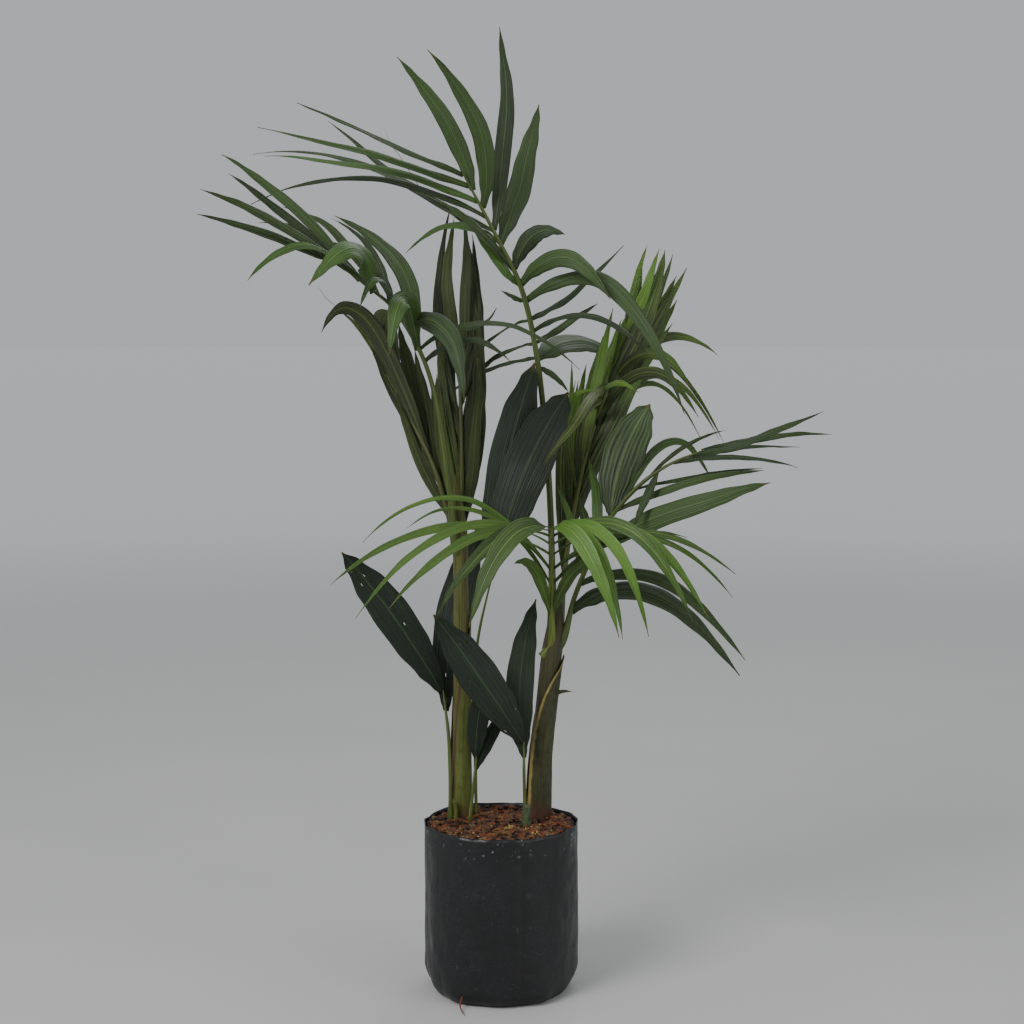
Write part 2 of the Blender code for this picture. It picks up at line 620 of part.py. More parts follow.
def make_planted_stem(side, foot, points, radius, swellings, sheath_share, sheath_opening):
    """A stem with its dry outer sheath, and the hole that the soil keeps for its root collar."""
    route = [foot - Vector((0, 0, PLANTING_DEPTH))]
    route += [foot + Vector(place) * UNIT for place in points]
    widths = [2 * radius * swelling for swelling in swellings]
    green = make_material(side + " stem olive", STEM_OLIVE, 0.6)
    stem = make_rod(side + "_stem", route, widths, 14, green)
    brown = make_material(side + " sheath brown", SHEATH_BROWN, 0.8)
    make_sheath(side + "_outer_sheath", route, widths, sheath_share, radians(sheath_opening), brown)
    return stem, make_planting_hole(side + "_stem_hole", foot, radius, PLANTING_DEPTH)


def make_stub(name, foot, points, width, colour):
    """What is left of a cut or withered petiole, standing in the soil."""
    place = foot + Vector(points[0]) * UNIT
    route = [place - Vector((0, 0, STUB_DEPTH))]
    route += [foot + Vector(point) * UNIT for point in points]
    skin = make_material(name + " skin", colour, 0.8)
    stub = make_rod(name, route, (width, width, width, width * 0.3), 8, skin, rings=6)
    return stub, make_planting_hole(name + "_hole", place, width * 0.5, STUB_DEPTH)


def make_planting_hole(name, foot, radius, depth):
    bm = bmesh.new()
    reach = depth + GAP
    made = bmesh.ops.create_cone(
        bm, cap_ends=True, segments=20, radius1=radius + 2 * GAP, radius2=radius + 2 * GAP, depth=2 * reach
    )
    bmesh.ops.translate(bm, verts=made["verts"], vec=foot)
    return make_object(name, bm, make_material(name, SHEATH_BROWN, 0.9))


def make_basal_leaf(name, foot, stalk, lobes, colour):
    """A two-lobed seedling leaf whose petiole runs down into the soil beside the stem."""
    place = foot + Vector(stalk[0]) * UNIT
    below = Vector((stalk[0][0], stalk[0][1], -BASAL_DEPTH / UNIT))
    leaf = make_frond(name, foot, (below, *stalk), lobes, colour, petiole=BASAL_PETIOLE, sections=LOBE)
    return leaf, make_planting_hole(name + "_hole", place, BASAL_PETIOLE * 0.8, BASAL_DEPTH)


def main():
    clear_scene()
    make_planter_bag()
    left = planted_at(LEFT_BEARING)
    right = planted_at(RIGHT_BEARING)
    planted = [
        make_planted_stem("left", left, LEFT_STEM_ROUTE, LEFT_STEM_RADIUS, LEFT_SWELLING, 0.45, 20),
        make_planted_stem("right", right, RIGHT_STEM_ROUTE, RIGHT_STEM_RADIUS, RIGHT_SWELLING, 0.62, 160),
        make_basal_leaf("dark_bifid_leaf", left, DARK_BIFID_STALK, DARK_BIFID_LOBES, DARK_GREEN),
        make_basal_leaf("left_bifid_leaf", left, LEFT_BIFID_STALK, LEFT_BIFID_LOBES, LEAF_GREEN),
        make_basal_leaf("small_bifid_leaf", left, SMALL_BIFID_STALK, SMALL_BIFID_LOBES, LEAF_GREEN),
        make_basal_leaf("middle_bifid_leaf", right, MIDDLE_BIFID_STALK, MIDDLE_BIFID_LOBES, DARK_GREEN),
        make_stub("dry_stub", left, DRY_STUB, DRY_STUB_WIDTH, SHEATH_BROWN),
        make_stub("green_stub", right, GREEN_STUB, GREEN_STUB_WIDTH, STEM_OLIVE),
    ]
    make_potting_mix([hole for _, hole in planted])
    make_frond("arching_frond", left, ARCHING_STALK, ARCHING_LEAFLETS, LEAF_GREEN)
    make_frond("hooked_frond", left, HOOKED_STALK, HOOKED_LEAFLETS, LEAF_GREEN)
    make_frond("left_new_frond", left, LEFT_NEW_STALK, LEFT_NEW_LEAFLETS, BRIGHT_GREEN)
    make_frond("tall_frond", right, TALL_STALK, TALL_LEAFLETS, DARK_GREEN)
    make_frond("right_new_frond", right, RIGHT_NEW_STALK, RIGHT_NEW_LEAFLETS, BRIGHT_GREEN)
    make_frond("front_frond", right, FRONT_STALK, FRONT_LEAFLETS, BRIGHT_GREEN)
    make_frond("side_frond", right, SIDE_STALK, SIDE_LEAFLETS, LEAF_GREEN)
    skin = right + Vector((RIGHT_STEM_RADIUS, 0, 0))
    bract = [skin + Vector(place) * UNIT for place in BRACT]
    brown = make_material("bract brown", SHEATH_BROWN, 0.8)
    make_rod("stem_bract", bract, (BRACT_WIDTH, BRACT_WIDTH * 0.2), 6, brown, rings=4)


main()
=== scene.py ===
"""Potted palm: the finished look of two young kentia palms in a soft black planter bag."""

from collections import namedtuple
from math import atan2, cos, pi, radians, sin

import bmesh
import bpy
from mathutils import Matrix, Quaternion, Vector, noise
from random import Random


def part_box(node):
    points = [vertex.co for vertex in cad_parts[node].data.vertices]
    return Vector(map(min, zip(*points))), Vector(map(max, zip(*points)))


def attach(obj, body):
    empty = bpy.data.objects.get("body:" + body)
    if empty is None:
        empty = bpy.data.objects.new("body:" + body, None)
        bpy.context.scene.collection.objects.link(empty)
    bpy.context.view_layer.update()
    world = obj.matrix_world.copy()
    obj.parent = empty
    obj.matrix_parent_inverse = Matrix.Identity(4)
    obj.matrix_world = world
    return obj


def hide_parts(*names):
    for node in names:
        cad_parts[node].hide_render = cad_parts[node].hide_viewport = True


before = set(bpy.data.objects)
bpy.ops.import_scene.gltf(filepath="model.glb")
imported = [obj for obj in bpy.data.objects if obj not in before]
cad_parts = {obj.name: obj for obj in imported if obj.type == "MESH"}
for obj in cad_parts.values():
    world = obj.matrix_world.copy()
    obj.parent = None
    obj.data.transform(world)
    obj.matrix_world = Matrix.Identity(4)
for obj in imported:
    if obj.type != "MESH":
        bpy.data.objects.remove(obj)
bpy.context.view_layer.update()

# ---- Planter bag -------------------------------------------------------------------------------------
# A nursery's thin black polythene bag: a welded tube of film whose bottom corners fold in. The mix holds it
# round; the film is dusty, stands a little slack, and is creased down its wall and at the welded seam.

BAG_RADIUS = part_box("planter_bag")[1].x
BAG_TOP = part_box("planter_bag")[1].z
BAG_CORNER = 0.014
FILM = 0.0006
SLACK = 0.0012  # how far the film stands off the mix all round
SEAM_ANGLE = -1.29
SEAM_HALF_ANGLE = 0.03
GUSSET_FROM = 0.62  # how far out to either side, as a share of the radius, the bottom corners begin
TUCK_DEPTH = 0.011
TUCK_HEIGHT = 0.028
RUBBED_AT = 0.022  # how far right of the middle the film is rubbed clean, in an upright band


def linear(code):
    """An sRGB hex colour as linear light."""
    parts = [int(code[i : i + 2], 16) / 255 for i in (0, 2, 4)]
    return tuple(p / 12.92 if p <= 0.04045 else ((p + 0.055) / 1.055) ** 2.4 for p in parts) + (1,)


def new_material(name):
    """A new material and its shader."""
    material = bpy.data.materials.new(name)
    material.use_nodes = True
    return material, material.node_tree.nodes["Principled BSDF"]


def add(material, kind, inputs=None, **settings):
    """Adds a node with its settings, and a value or a link on each named input. Returns its first output."""
    tree = material.node_tree
    node = tree.nodes.new("ShaderNode" + kind)
    for name, value in settings.items():
        setattr(node, name, value)
    for name, value in (inputs or {}).items():
        if isinstance(value, bpy.types.NodeSocket):
            tree.links.new(value, node.inputs[name])
        else:
            node.inputs[name].default_value = value
    return node.outputs[0]


def spread(material, value, low, high, to_low=0.0, to_high=1.0):
    """Maps a value's range to another, clamped, with soft ends."""
    inputs = {"Value": value, "From Min": low, "From Max": high, "To Min": to_low, "To Max": to_high}
    return add(material, "MapRange", inputs, interpolation_type="SMOOTHSTEP")


def blend(material, factor, first, second):
    """Lays the second colour over the first by a factor. Each may be a value or a link."""
    tree = material.node_tree
    node = tree.nodes.new("ShaderNodeMix")
    node.data_type = "RGBA"
    for socket, value in ((node.inputs[0], factor), (node.inputs[6], first), (node.inputs[7], second)):
        if isinstance(value, bpy.types.NodeSocket):
            tree.links.new(value, socket)
        else:
            socket.default_value = value
    return node.outputs[2]


def math(material, operation, first, second=0.0):
    """One sum on values or links."""
    return add(material, "Math", {0: first, 1: second}, operation=operation)


def finish(material, shader, colour, roughness, height=None, depth=0.001):
    """Links colour, roughness and relief to the material's shader."""
    tree = material.node_tree
    tree.links.new(colour, shader.inputs["Base Color"])
    tree.links.new(roughness, shader.inputs["Roughness"])
    if height is not None:
        bump = add(material, "Bump", {"Height": height, "Distance": depth, "Strength": 1.0})
        tree.links.new(bump, shader.inputs["Normal"])


def new_object(name, bm, *materials, smooth=True):
    """Makes an object of the bmesh, at the origin, and ends the bmesh."""
    mesh = bpy.data.meshes.new(name)
    bm.to_mesh(mesh)
    bm.free()
    for material in materials:
        mesh.materials.append(material)
    if smooth:
        mesh.shade_smooth()
    obj = bpy.data.objects.new(name, mesh)
    bpy.context.scene.collection.objects.link(obj)
    return obj


def film_material():
    """Matt black film: a bluish bloom of dust but for one rubbed band, dried splashes near the rim and foot,
    pale specks and scuffs, and marks left by drops of water under the rim."""
    film, shader = new_material("black polythene film")
    place = add(film, "TexCoord").node.outputs["Object"]
    height = add(film, "SeparateXYZ", {"Vector": place}).node.outputs["Z"]
    grain = add(film, "TexNoise", {"Vector": place, "Scale": 900.0, "Detail": 3.0})
    cloud = add(film, "TexNoise", {"Vector": place, "Scale": 28.0, "Detail": 5.0, "Roughness": 0.65})
    specks = add(film, "TexVoronoi", {"Vector": place, "Scale": 260.0})
    splash = add(film, "TexNoise", {"Vector": place, "Scale": 75.0, "Detail": 6.0, "Roughness": 0.7})
    rim_zone = spread(film, height, BAG_TOP - 0.058, BAG_TOP - 0.003)
    foot_zone = spread(film, height, 0.05, 0.0)
    zone = math(film, "MAXIMUM", rim_zone, foot_zone)
    width = add(film, "SeparateXYZ", {"Vector": place}).node.outputs["X"]
    off_band = math(film, "ABSOLUTE", math(film, "SUBTRACT", width, RUBBED_AT))
    rubbed = spread(film, off_band, 0.006, 0.022)
    dust = math(film, "MULTIPLY", spread(film, grain, 0.50, 0.72), spread(film, cloud, 0.32, 0.66))
    dust = math(film, "MULTIPLY", dust, rubbed)
    dried = math(film, "MULTIPLY", spread(film, splash, 0.60, 0.72), math(film, "MULTIPLY", zone, 0.5))
    dots = math(film, "MULTIPLY", spread(film, specks, 0.12, 0.05), spread(film, cloud, 0.42, 0.6))
    scuff = {"X": math(film, "MULTIPLY", width, 420.0), "Y": math(film, "MULTIPLY", height, 34.0)}
    scuff = add(film, "TexNoise", {"Vector": add(film, "CombineXYZ", scuff), "Scale": 1.0, "Detail": 3.0})
    scuff = math(film, "MULTIPLY", spread(film, scuff, 0.66, 0.74), spread(film, cloud, 0.5, 0.62))
    colour = blend(film, math(film, "MULTIPLY", dust, 0.42), linear("0a0a0c"), linear("363a45"))
    colour = blend(film, dried, colour, linear("4d463d"))
    colour = blend(film, math(film, "MULTIPLY", dots, 0.7), colour, linear("6d717b"))
    colour = blend(film, math(film, "MULTIPLY", scuff, 0.5), colour, linear("5c5e63"))
    drops = add(film, "TexVoronoi", {"Vector": place, "Scale": 150.0})
    under_rim = spread(film, height, BAG_TOP - 0.031, BAG_TOP - 0.011)
    drops = math(film, "MULTIPLY", spread(film, drops, 0.32, 0.20), under_rim)
    drops = math(film, "MULTIPLY", drops, spread(film, splash, 0.50, 0.58))
    colour = blend(film, drops, colour, linear("767a82"))
    roughness = spread(film, cloud, 0.3, 0.7, 0.34, 0.56)
    wrinkle = add(film, "TexNoise", {"Vector": place, "Scale": 60.0, "Detail": 4.0, "Distortion": 0.6})
    finish(film, shader, colour, roughness, wrinkle, 0.0012)
    return film


def tuck(angle, height):
    """The folded-in bottom corners: where the gussets are, the foot slants in under the bag."""
    fold = max(0.0, abs(cos(angle)) - GUSSET_FROM) / (1 - GUSSET_FROM)
    return TUCK_DEPTH * fold * max(0.0, 1 - height / TUCK_HEIGHT) ** 1.3


def slack(angle, height):
    """How far the film stands off true round: broad bulges, upright creases and a drawn-in seam."""
    level = height / BAG_TOP
    off_seam = abs((angle - SEAM_ANGLE + SEAM_HALF_ANGLE) % (2 * pi) - SEAM_HALF_ANGLE)
    bulge = 0.0009 * sin(3 * angle + 0.8) + 0.0006 * sin(5 * angle + 4 * level)
    crease = noise.noise(Vector((cos(angle) * 3.5, sin(angle) * 3.5, level * 1.2)))
    crumple = noise.noise(Vector((cos(angle) * 9, sin(angle) * 9, level * 7)))
    seam = -0.0012 * max(0.0, 1 - off_seam / SEAM_HALF_ANGLE)
    foot = 0.0016 * max(0.0, 1 - level * 5) * sin(11 * angle)
    return SLACK + bulge + 0.0014 * crease + 0.0007 * crumple + seam + foot - tuck(angle, height)


def make_bag():
    """The film as one turned sheet of floor, rounded corner and wall, pushed out of true, with a wavy lip."""
    bm = bmesh.new()
    corner_rows = 6
    wall_rows = 40
    floor = [(BAG_RADIUS * share, 0) for share in (0, 0.3, 0.6, 0.8)]
    turns = [pi / 2 * row / corner_rows for row in range(corner_rows + 1)]
    corner = [(BAG_RADIUS - BAG_CORNER * (1 - sin(a)), BAG_CORNER * (1 - cos(a))) for a in turns]
    levels = [row / wall_rows for row in range(1, wall_rows + 1)]
    wall = [(BAG_RADIUS, BAG_CORNER + (BAG_TOP - BAG_CORNER) * level) for level in levels]
    points = [bm.verts.new((r, 0, z)) for r, z in floor + corner + wall]
    edges = [bm.edges.new(pair) for pair in zip(points, points[1:])]
    bmesh.ops.spin(bm, geom=points + edges, axis=(0, 0, 1), angle=2 * pi, steps=180, use_merge=True)
    bmesh.ops.remove_doubles(bm, verts=bm.verts, dist=1e-6)
    bmesh.ops.recalc_face_normals(bm, faces=bm.faces)
    for vert in bm.verts:
        angle = atan2(vert.co.y, vert.co.x)
        radius = Vector((vert.co.x, vert.co.y)).length
        share = max(0.0, min(1.0, (radius / BAG_RADIUS - 0.85) / 0.15))
        radius += share * slack(angle, vert.co.z)
        lip = max(0.0, (vert.co.z / BAG_TOP - 0.96) / 0.04)
        rise = 0.0022 * lip * noise.noise(Vector((cos(angle) * 2.4, sin(angle) * 2.4, 3.1)))
        radius += 0.0010 * lip * sin(17 * angle)
        vert.co = Vector((radius * cos(angle), radius * sin(angle), vert.co.z + rise))
    bag = new_object("bag_film", bm, film_material())
    shell = bag.modifiers.new("film", "SOLIDIFY")
    shell.thickness = FILM
    shell.offset = -1
    return bag


bag = make_bag()
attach(bag, "root")
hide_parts("planter_bag")

# ---- Potting mix -------------------------------------------------------------------------------------
# Composted bark, settled a little below the rim, with coarse chips on top and grains of slow fertiliser
# in a few loose heaps. The chips are broken shards that lie nearly flat, at random.

MIX_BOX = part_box("potting_mix")
SOIL = MIX_BOX[1].z
MIX_RADIUS = MIX_BOX[1].x
MIX_REACH = MIX_RADIUS - 0.0014  # the mix stops short of the film, so that neither shows through the other
MIX_FLOOR = 0.03  # only the mix's top shows, so its finished body is shallow
HEAPS = ((0.012, -0.018), (0.022, -0.012), (-0.05, -0.055), (0.05, -0.04))
chance = Random(11)


def mix_material():
    """Damp composted bark: dark brown, with paler clumps, crumbly all over and quite matt."""
    mix, shader = new_material("composted bark mix")
    place = add(mix, "TexCoord").node.outputs["Object"]
    clumps = add(mix, "TexNoise", {"Vector": place, "Scale": 120.0, "Detail": 8.0, "Roughness": 0.7})
    crumbs = add(mix, "TexVoronoi", {"Vector": place, "Scale": 420.0})
    colour = blend(mix, spread(mix, clumps, 0.35, 0.68), linear("150e0a"), linear("3d2718"))
    height = math(mix, "ADD", clumps, math(mix, "MULTIPLY", crumbs, 0.5))
    finish(mix, shader, colour, spread(mix, crumbs, 0.0, 1.0, 0.85, 1.0), height, 0.003)
    return mix


def chip_material(name, dark, light):
    """Broken bark: each chip takes its own tone from where it lies, with the grain running across it."""
    bark, shader = new_material(name)
    place = add(bark, "TexCoord").node.outputs["Object"]
    tone = add(bark, "TexVoronoi", {"Vector": place, "Scale": 130.0}).node.outputs["Color"]
    tone = add(bark, "SeparateXYZ", {"Vector": tone})
    fibre = add(bark, "TexNoise", {"Vector": place, "Scale": 600.0, "Detail": 4.0, "Distortion": 1.5})
    colour = blend(bark, tone, linear(dark), linear(light))
    colour = blend(bark, spread(bark, fibre, 0.45, 0.7, 0.0, 0.6), colour, linear("120c09"))
    finish(bark, shader, colour, spread(bark, fibre, 0.3, 0.7, 0.75, 0.95), fibre, 0.0008)
    return bark


def soil_height(x, y):
    """The lie of the mix: lumpy all over, and washed up a little against the film."""
    lumps = noise.noise(Vector((x * 60, y * 60, 0.4))) * 0.0022
    lumps += noise.noise(Vector((x * 150, y * 150, 2))) * 0.0012
    rise = 0.0035 * (Vector((x, y)).length / MIX_RADIUS) ** 6
    return SOIL - 0.0005 + lumps + rise


def make_mix():
    """The mix as one turned solid, its top raised and lowered into lumps."""
    bm = bmesh.new()
    rings = 34
    top = [(MIX_REACH * ring / rings, SOIL) for ring in range(rings + 1)]
    foot = [(MIX_REACH - 0.004, SOIL - 0.012), (MIX_REACH - 0.02, MIX_FLOOR), (0, MIX_FLOOR)]
    line = [bm.verts.new((r, 0, z)) for r, z in top + foot]
    edges = [bm.edges.new(pair) for pair in zip(line, line[1:])]
    bmesh.ops.spin(bm, geom=line + edges, axis=(0, 0, 1), angle=2 * pi, steps=120, use_merge=True)
    bmesh.ops.remove_doubles(bm, verts=bm.verts, dist=1e-6)
    bmesh.ops.recalc_face_normals(bm, faces=bm.faces)
    for vert in bm.verts:
        if vert.co.z > SOIL - 1e-4:
            vert.co.z = soil_height(vert.co.x, vert.co.y)
    return new_object("bark_mix", bm, mix_material())


def add_shard(bm, place, size, flatness):
    """One broken chip, lying nearly flat: a lumpy bead flattened and pulled out along its grain."""
    made = bmesh.ops.create_icosphere(bm, subdivisions=1, radius=1)["verts"]
    for vert in made:
        vert.co *= 1 + chance.uniform(-0.32, 0.22)
        vert.co.x *= size
        vert.co.y *= size * chance.uniform(0.42, 0.5)
        vert.co.z *= size * flatness
    turn = Vector((chance.uniform(-0.45, 0.45), chance.uniform(-0.45, 0.45), 1)).to_track_quat("Z", "Y")
    heading = place.z * 1e5  # the mix's lie differs at every place, so this points each chip its own way
    spin_turn = Vector((cos(heading), sin(heading), 0)).to_track_quat("X", "Z")
    matrix = (turn @ spin_turn).to_matrix()
    bmesh.ops.rotate(bm, verts=made, cent=(0, 0, 0), matrix=matrix)
    bmesh.ops.translate(bm, verts=made, vec=place)


def scattered_places(count, reach, lift):
    """Places on the mix, evenly spread over the disc."""
    for _ in range(count):
        bearing = chance.uniform(0, 2 * pi)
        radius = reach * chance.random() ** 0.5
        x, y = radius * cos(bearing), radius * sin(bearing)
        yield Vector((x, y, soil_height(x, y) + lift))


def make_scatter(name, count, sizes, flatness, lift, material):
    """Loose chips strewn over the mix, as one piece."""
    bm = bmesh.new()
    for place in scattered_places(count, MIX_RADIUS - 0.005, lift):
        add_shard(bm, place, chance.uniform(*sizes), flatness)
    return new_object(name, bm, material, smooth=False)


red_bark = chip_material("reddish bark chips", "1c0e08", "84461f")
grey_bark = chip_material("weathered bark chips", "1a130d", "806038")
mix = make_mix()
chips = make_scatter("bark_chips", 900, (0.0018, 0.0078), 0.30, 0.0012, red_bark)
pale_chips = make_scatter("weathered_chips", 460, (0.0014, 0.0062), 0.30, 0.0018, grey_bark)


def make_grains():
    """Slow fertiliser: small, lumpy, dull yellow grains with a waxy coat, lying in loose heaps."""
    coat, shader = new_material("fertiliser grains")
    place = add(coat, "TexCoord").node.outputs["Object"]
    tone = add(coat, "TexNoise", {"Vector": place, "Scale": 90.0})
    colour = blend(coat, spread(coat, tone, 0.42, 0.62), linear("9a7c2e"), linear("a3905a"))
    finish(coat, shader, colour, spread(coat, tone, 0.3, 0.7, 0.55, 0.75))
    bm = bmesh.new()
    for number in range(90):
        spot = Vector(HEAPS[number % len(HEAPS)]) + Vector((chance.gauss(0, 0.012), chance.gauss(0, 0.010)))
        spot *= min(1.0, (MIX_RADIUS - 0.012) / spot.length)
        place = Vector((spot.x, spot.y, soil_height(spot.x, spot.y) + 0.0016))
        bead = chance.uniform(0.0008, 0.0017)
        made = bmesh.ops.create_icosphere(bm, subdivisions=2, radius=bead)["verts"]
        lump = Vector((chance.uniform(0, 90), 0, 0))
        for vert in made:
            vert.co *= 1 + 0.45 * noise.noise(vert.co / bead * 0.9 + lump)
        bmesh.ops.translate(bm, verts=made, vec=place)
    return new_object("fertiliser_grains", bm, coat)


grains = make_grains()
for piece in (mix, chips, pale_chips, grains):
    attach(piece, "root")
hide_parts("potting_mix")

# ---- The two stems -----------------------------------------------------------------------------------
# Each stem is the rolled bases of its own leaves: smooth, fibrous along its length, olive green with a
# dry brown margin where one leaf base overlaps the next. It swells a little above the soil.

LEFT_FOOT = Vector((-0.0492, 0.0459, SOIL))
RIGHT_FOOT = Vector((0.0461, 0.0491, SOIL))
LEFT_RADIUS = 0.0115
RIGHT_RADIUS = 0.0135
STEM_BURIED = 0.03
SCAR = RIGHT_FOOT + Vector((0.005, -0.0125, 0.119))  # where an old leaf broke off the right stem
TALLEST = 94.74  # growth units from the mix up to the tall frond's highest point
UNIT = (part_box("tall_frond")[1].z - SOIL) / TALLEST


def sheet(bm, columns, rows, place, tone=0.5):
    """Adds a grid whose points go where place(u, v) says: u runs 0 to 1 across it and v 0 to 1 along it."""
    uv = bm.loops.layers.uv.verify()
    tones = bm.verts.layers.float.get("tone") or bm.verts.layers.float.new("tone")
    made = bmesh.ops.create_grid(bm, x_segments=columns, y_segments=rows, size=0.5)["verts"]
    spots = {vert: (vert.co.x + 0.5, vert.co.y + 0.5) for vert in made}
    for face in {face for vert in made for face in vert.link_faces}:
        for loop in face.loops:
            loop[uv].uv = spots[loop.vert]
    for vert in made:
        vert[tones] = tone
        vert.co = place(*spots[vert])
    return made


class Route:
    """A smooth route through points, read at any share of its length."""

    def __init__(self, points, pieces=12):
        ends = [points[0] * 2 - points[1], *points, points[-1] * 2 - points[-2]]
        self.fine = []
        for before, start, end, after in zip(ends, ends[1:], ends[2:], ends[3:]):
            for t in (piece / pieces for piece in range(pieces)):
                square = (2 * before - 5 * start + 4 * end - after) * t**2
                cube = (3 * start - before - 3 * end + after) * t**3
                self.fine.append(0.5 * (2 * start + (end - before) * t + square + cube))
        self.fine.append(points[-1].copy())
        self.runs = [0.0]
        for start, end in zip(self.fine, self.fine[1:]):
            self.runs.append(self.runs[-1] + (end - start).length)
        self.length = self.runs[-1]

    def at(self, share):
        """Place and direction at a share of the length, straight on past either end."""
        run = share * self.length
        last = len(self.fine) - 2
        index = 0 if run < 0 else next((i for i in range(last) if self.runs[i + 1] > run), last)
        start = self.fine[index]
        step = self.fine[index + 1] - start
        before = self.fine[max(0, index - 1)]
        after = self.fine[min(last + 1, index + 2)]
        part = (run - self.runs[index]) / step.length
        entering = (self.fine[index + 1] - before).normalized()
        leaving = (after - start).normalized()
        direction = entering.lerp(leaving, max(0.0, min(1.0, part))).normalized()
        return start + step * part, direction


def across(direction):
    """The sideways and backward directions of a section square to the direction."""
    side = Vector((0, 1, 0)).cross(direction).normalized()
    return side, direction.cross(side)


def ramp(shares, value):
    """Reads a row of (place, amount) pairs at a value, softly between them."""
    for (low, start), (high, end) in zip(shares, shares[1:]):
        if value <= high:
            t = max(0.0, (value - low) / (high - low))
            return start + (end - start) * (t * t * (3 - 2 * t))
    return shares[-1][1]


def tube(bm, route, radius_at, columns=16, rows=60, shape=None, tone=0.5):
    """A closed-round skin along a route. The shape function may push a point in or out by (angle, share)."""

    def place(u, v):
        centre, direction = route.at(v)
        side, back = across(direction)
        angle = 2 * pi * u
        radius = radius_at(v) * (1 + (shape(angle, v) if shape else 0))
        return centre + (side * cos(angle) - back * sin(angle)) * radius

    made = sheet(bm, columns, rows, place, tone)
    bmesh.ops.remove_doubles(bm, verts=made, dist=1e-6)


def stem_material(name, base, body, margin, margin_at):
    """Stem skin: olive with darker fibres along it, a dry brown margin line, and a yellow flush by it."""
    skin, shader = new_material(name)
    place = add(skin, "TexCoord").node
    uv = add(skin, "SeparateXYZ", {"Vector": place.outputs["UV"]}).node.outputs
    along = math(skin, "MULTIPLY", uv["Y"], 6.0)
    stretched = add(skin, "CombineXYZ", {"X": math(skin, "MULTIPLY", uv["X"], 60.0), "Y": along})
    fibre = add(skin, "TexNoise", {"Vector": stretched, "Scale": 1.0, "Detail": 6.0, "Roughness": 0.65})
    cloud = add(skin, "TexNoise", {"Vector": place.outputs["Object"], "Scale": 45.0, "Detail": 4.0})
    lean = math(skin, "ADD", uv["X"], math(skin, "MULTIPLY", uv["Y"], -0.10))
    off = math(skin, "ABSOLUTE", math(skin, "SUBTRACT", lean, margin_at))
    off = math(skin, "ADD", off, math(skin, "MULTIPLY", cloud, 0.03))
    flush = spread(skin, off, 0.16, 0.03)
    line = spread(skin, off, 0.045, 0.015)
    colour = blend(skin, spread(skin, fibre, 0.35, 0.68), linear(base), linear(body))
    colour = blend(skin, math(skin, "MULTIPLY", flush, 0.75), colour, linear("7d7433"))
    colour = blend(skin, math(skin, "MULTIPLY", line, 0.85), colour, linear(margin))
    foot = spread(skin, math(skin, "ADD", uv["Y"], math(skin, "MULTIPLY", cloud, 0.06)), 0.30, 0.17)
    colour = blend(skin, math(skin, "MULTIPLY", foot, 0.55), colour, linear("6b5d2c"))
    scars = add(skin, "TexVoronoi", {"Vector": place.outputs["Object"], "Scale": 140.0})
    flecks = math(skin, "MULTIPLY", spread(skin, scars, 0.16, 0.08), spread(skin, cloud, 0.5, 0.65))
    colour = blend(skin, math(skin, "MULTIPLY", flecks, 0.7), colour, linear("4a2c1b"))
    away = add(skin, "VectorMath", {0: place.outputs["Object"], 1: SCAR}, operation="DISTANCE")
    away = math(skin, "ADD", away.node.outputs["Value"], math(skin, "MULTIPLY", cloud, 0.006))
    colour = blend(skin, spread(skin, away, 0.010, 0.007), colour, linear("8a5a30"))
    finish(skin, shader, colour, spread(skin, fibre, 0.3, 0.7, 0.42, 0.6), fibre, 0.0009)
    return skin


def make_stem(name, foot, points, radius, swelling, material, seam):
    """The rolled stem: round, with one overlap step running up it and a flared, ridged foot."""
    route = Route([foot - Vector((0, 0, STEM_BURIED))] + [foot + Vector(point) * UNIT for point in points])

    def radius_at(share):
        return radius * ramp(swelling, share)

    def shape(angle, share):
        turn = (angle - seam + 0.7 * share) % (2 * pi)
        step = 0.07 * (1 - turn / (2 * pi)) - 0.035
        ridges = 0.012 * sin(5 * angle + 2) + 0.008 * sin(11 * angle + 9 * share)
        return step + ridges

    bm = bmesh.new()
    tube(bm, route, radius_at, columns=48, rows=110, shape=shape)
    stem = new_object(name, bm, material)
    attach(stem, "root")
    return stem


left_skin = stem_material("left palm stem skin", "3b3a13", "66692a", "5c3122", margin_at=0.62)
right_skin = stem_material("right palm stem skin", "292811", "48461d", "7a5a2c", margin_at=0.56)
left_points = ((0, 0, 0), (0.1, 0, 14), (0.1, 0, 26), (0, 0, 34.6), (-0.2, -0.1, 38), (-0.6, -0.7, 42))
right_points = ((0, 0, 0), (0.2, 0, 6.8), (0.9, 0, 14), (1.8, 0.2, 21.6), (2.2, 0.3, 24), (2.6, 0.3, 28))
left_swell = (
    (0, 0.95), (0.08, 1.06), (0.15, 0.95), (0.45, 0.86), (0.72, 0.78), (0.82, 0.82), (0.9, 0.6), (1, 0.2)
)
right_swell = (
    (0, 0.9), (0.11, 1.06), (0.22, 0.95), (0.53, 0.87), (0.75, 0.92), (0.84, 0.8), (0.92, 0.5), (1, 0.18)
)
left_stem = make_stem(
    "left_stem_skin", LEFT_FOOT, left_points, LEFT_RADIUS, left_swell, left_skin, seam=3.9
)
right_stem = make_stem(
    "right_stem_skin", RIGHT_FOOT, right_points, RIGHT_RADIUS, right_swell, right_skin, seam=3.5
)
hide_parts("left_stem")
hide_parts("right_stem")

# ---- Outer sheaths, stubs and bract ------------------------------------------------------------------
# The oldest leaf bases still hug the stems, green along their middles and gone to dry brown husk at their
# edges and feet. Two petioles were cut at the mix, and a small dry bract sticks out of the right stem.

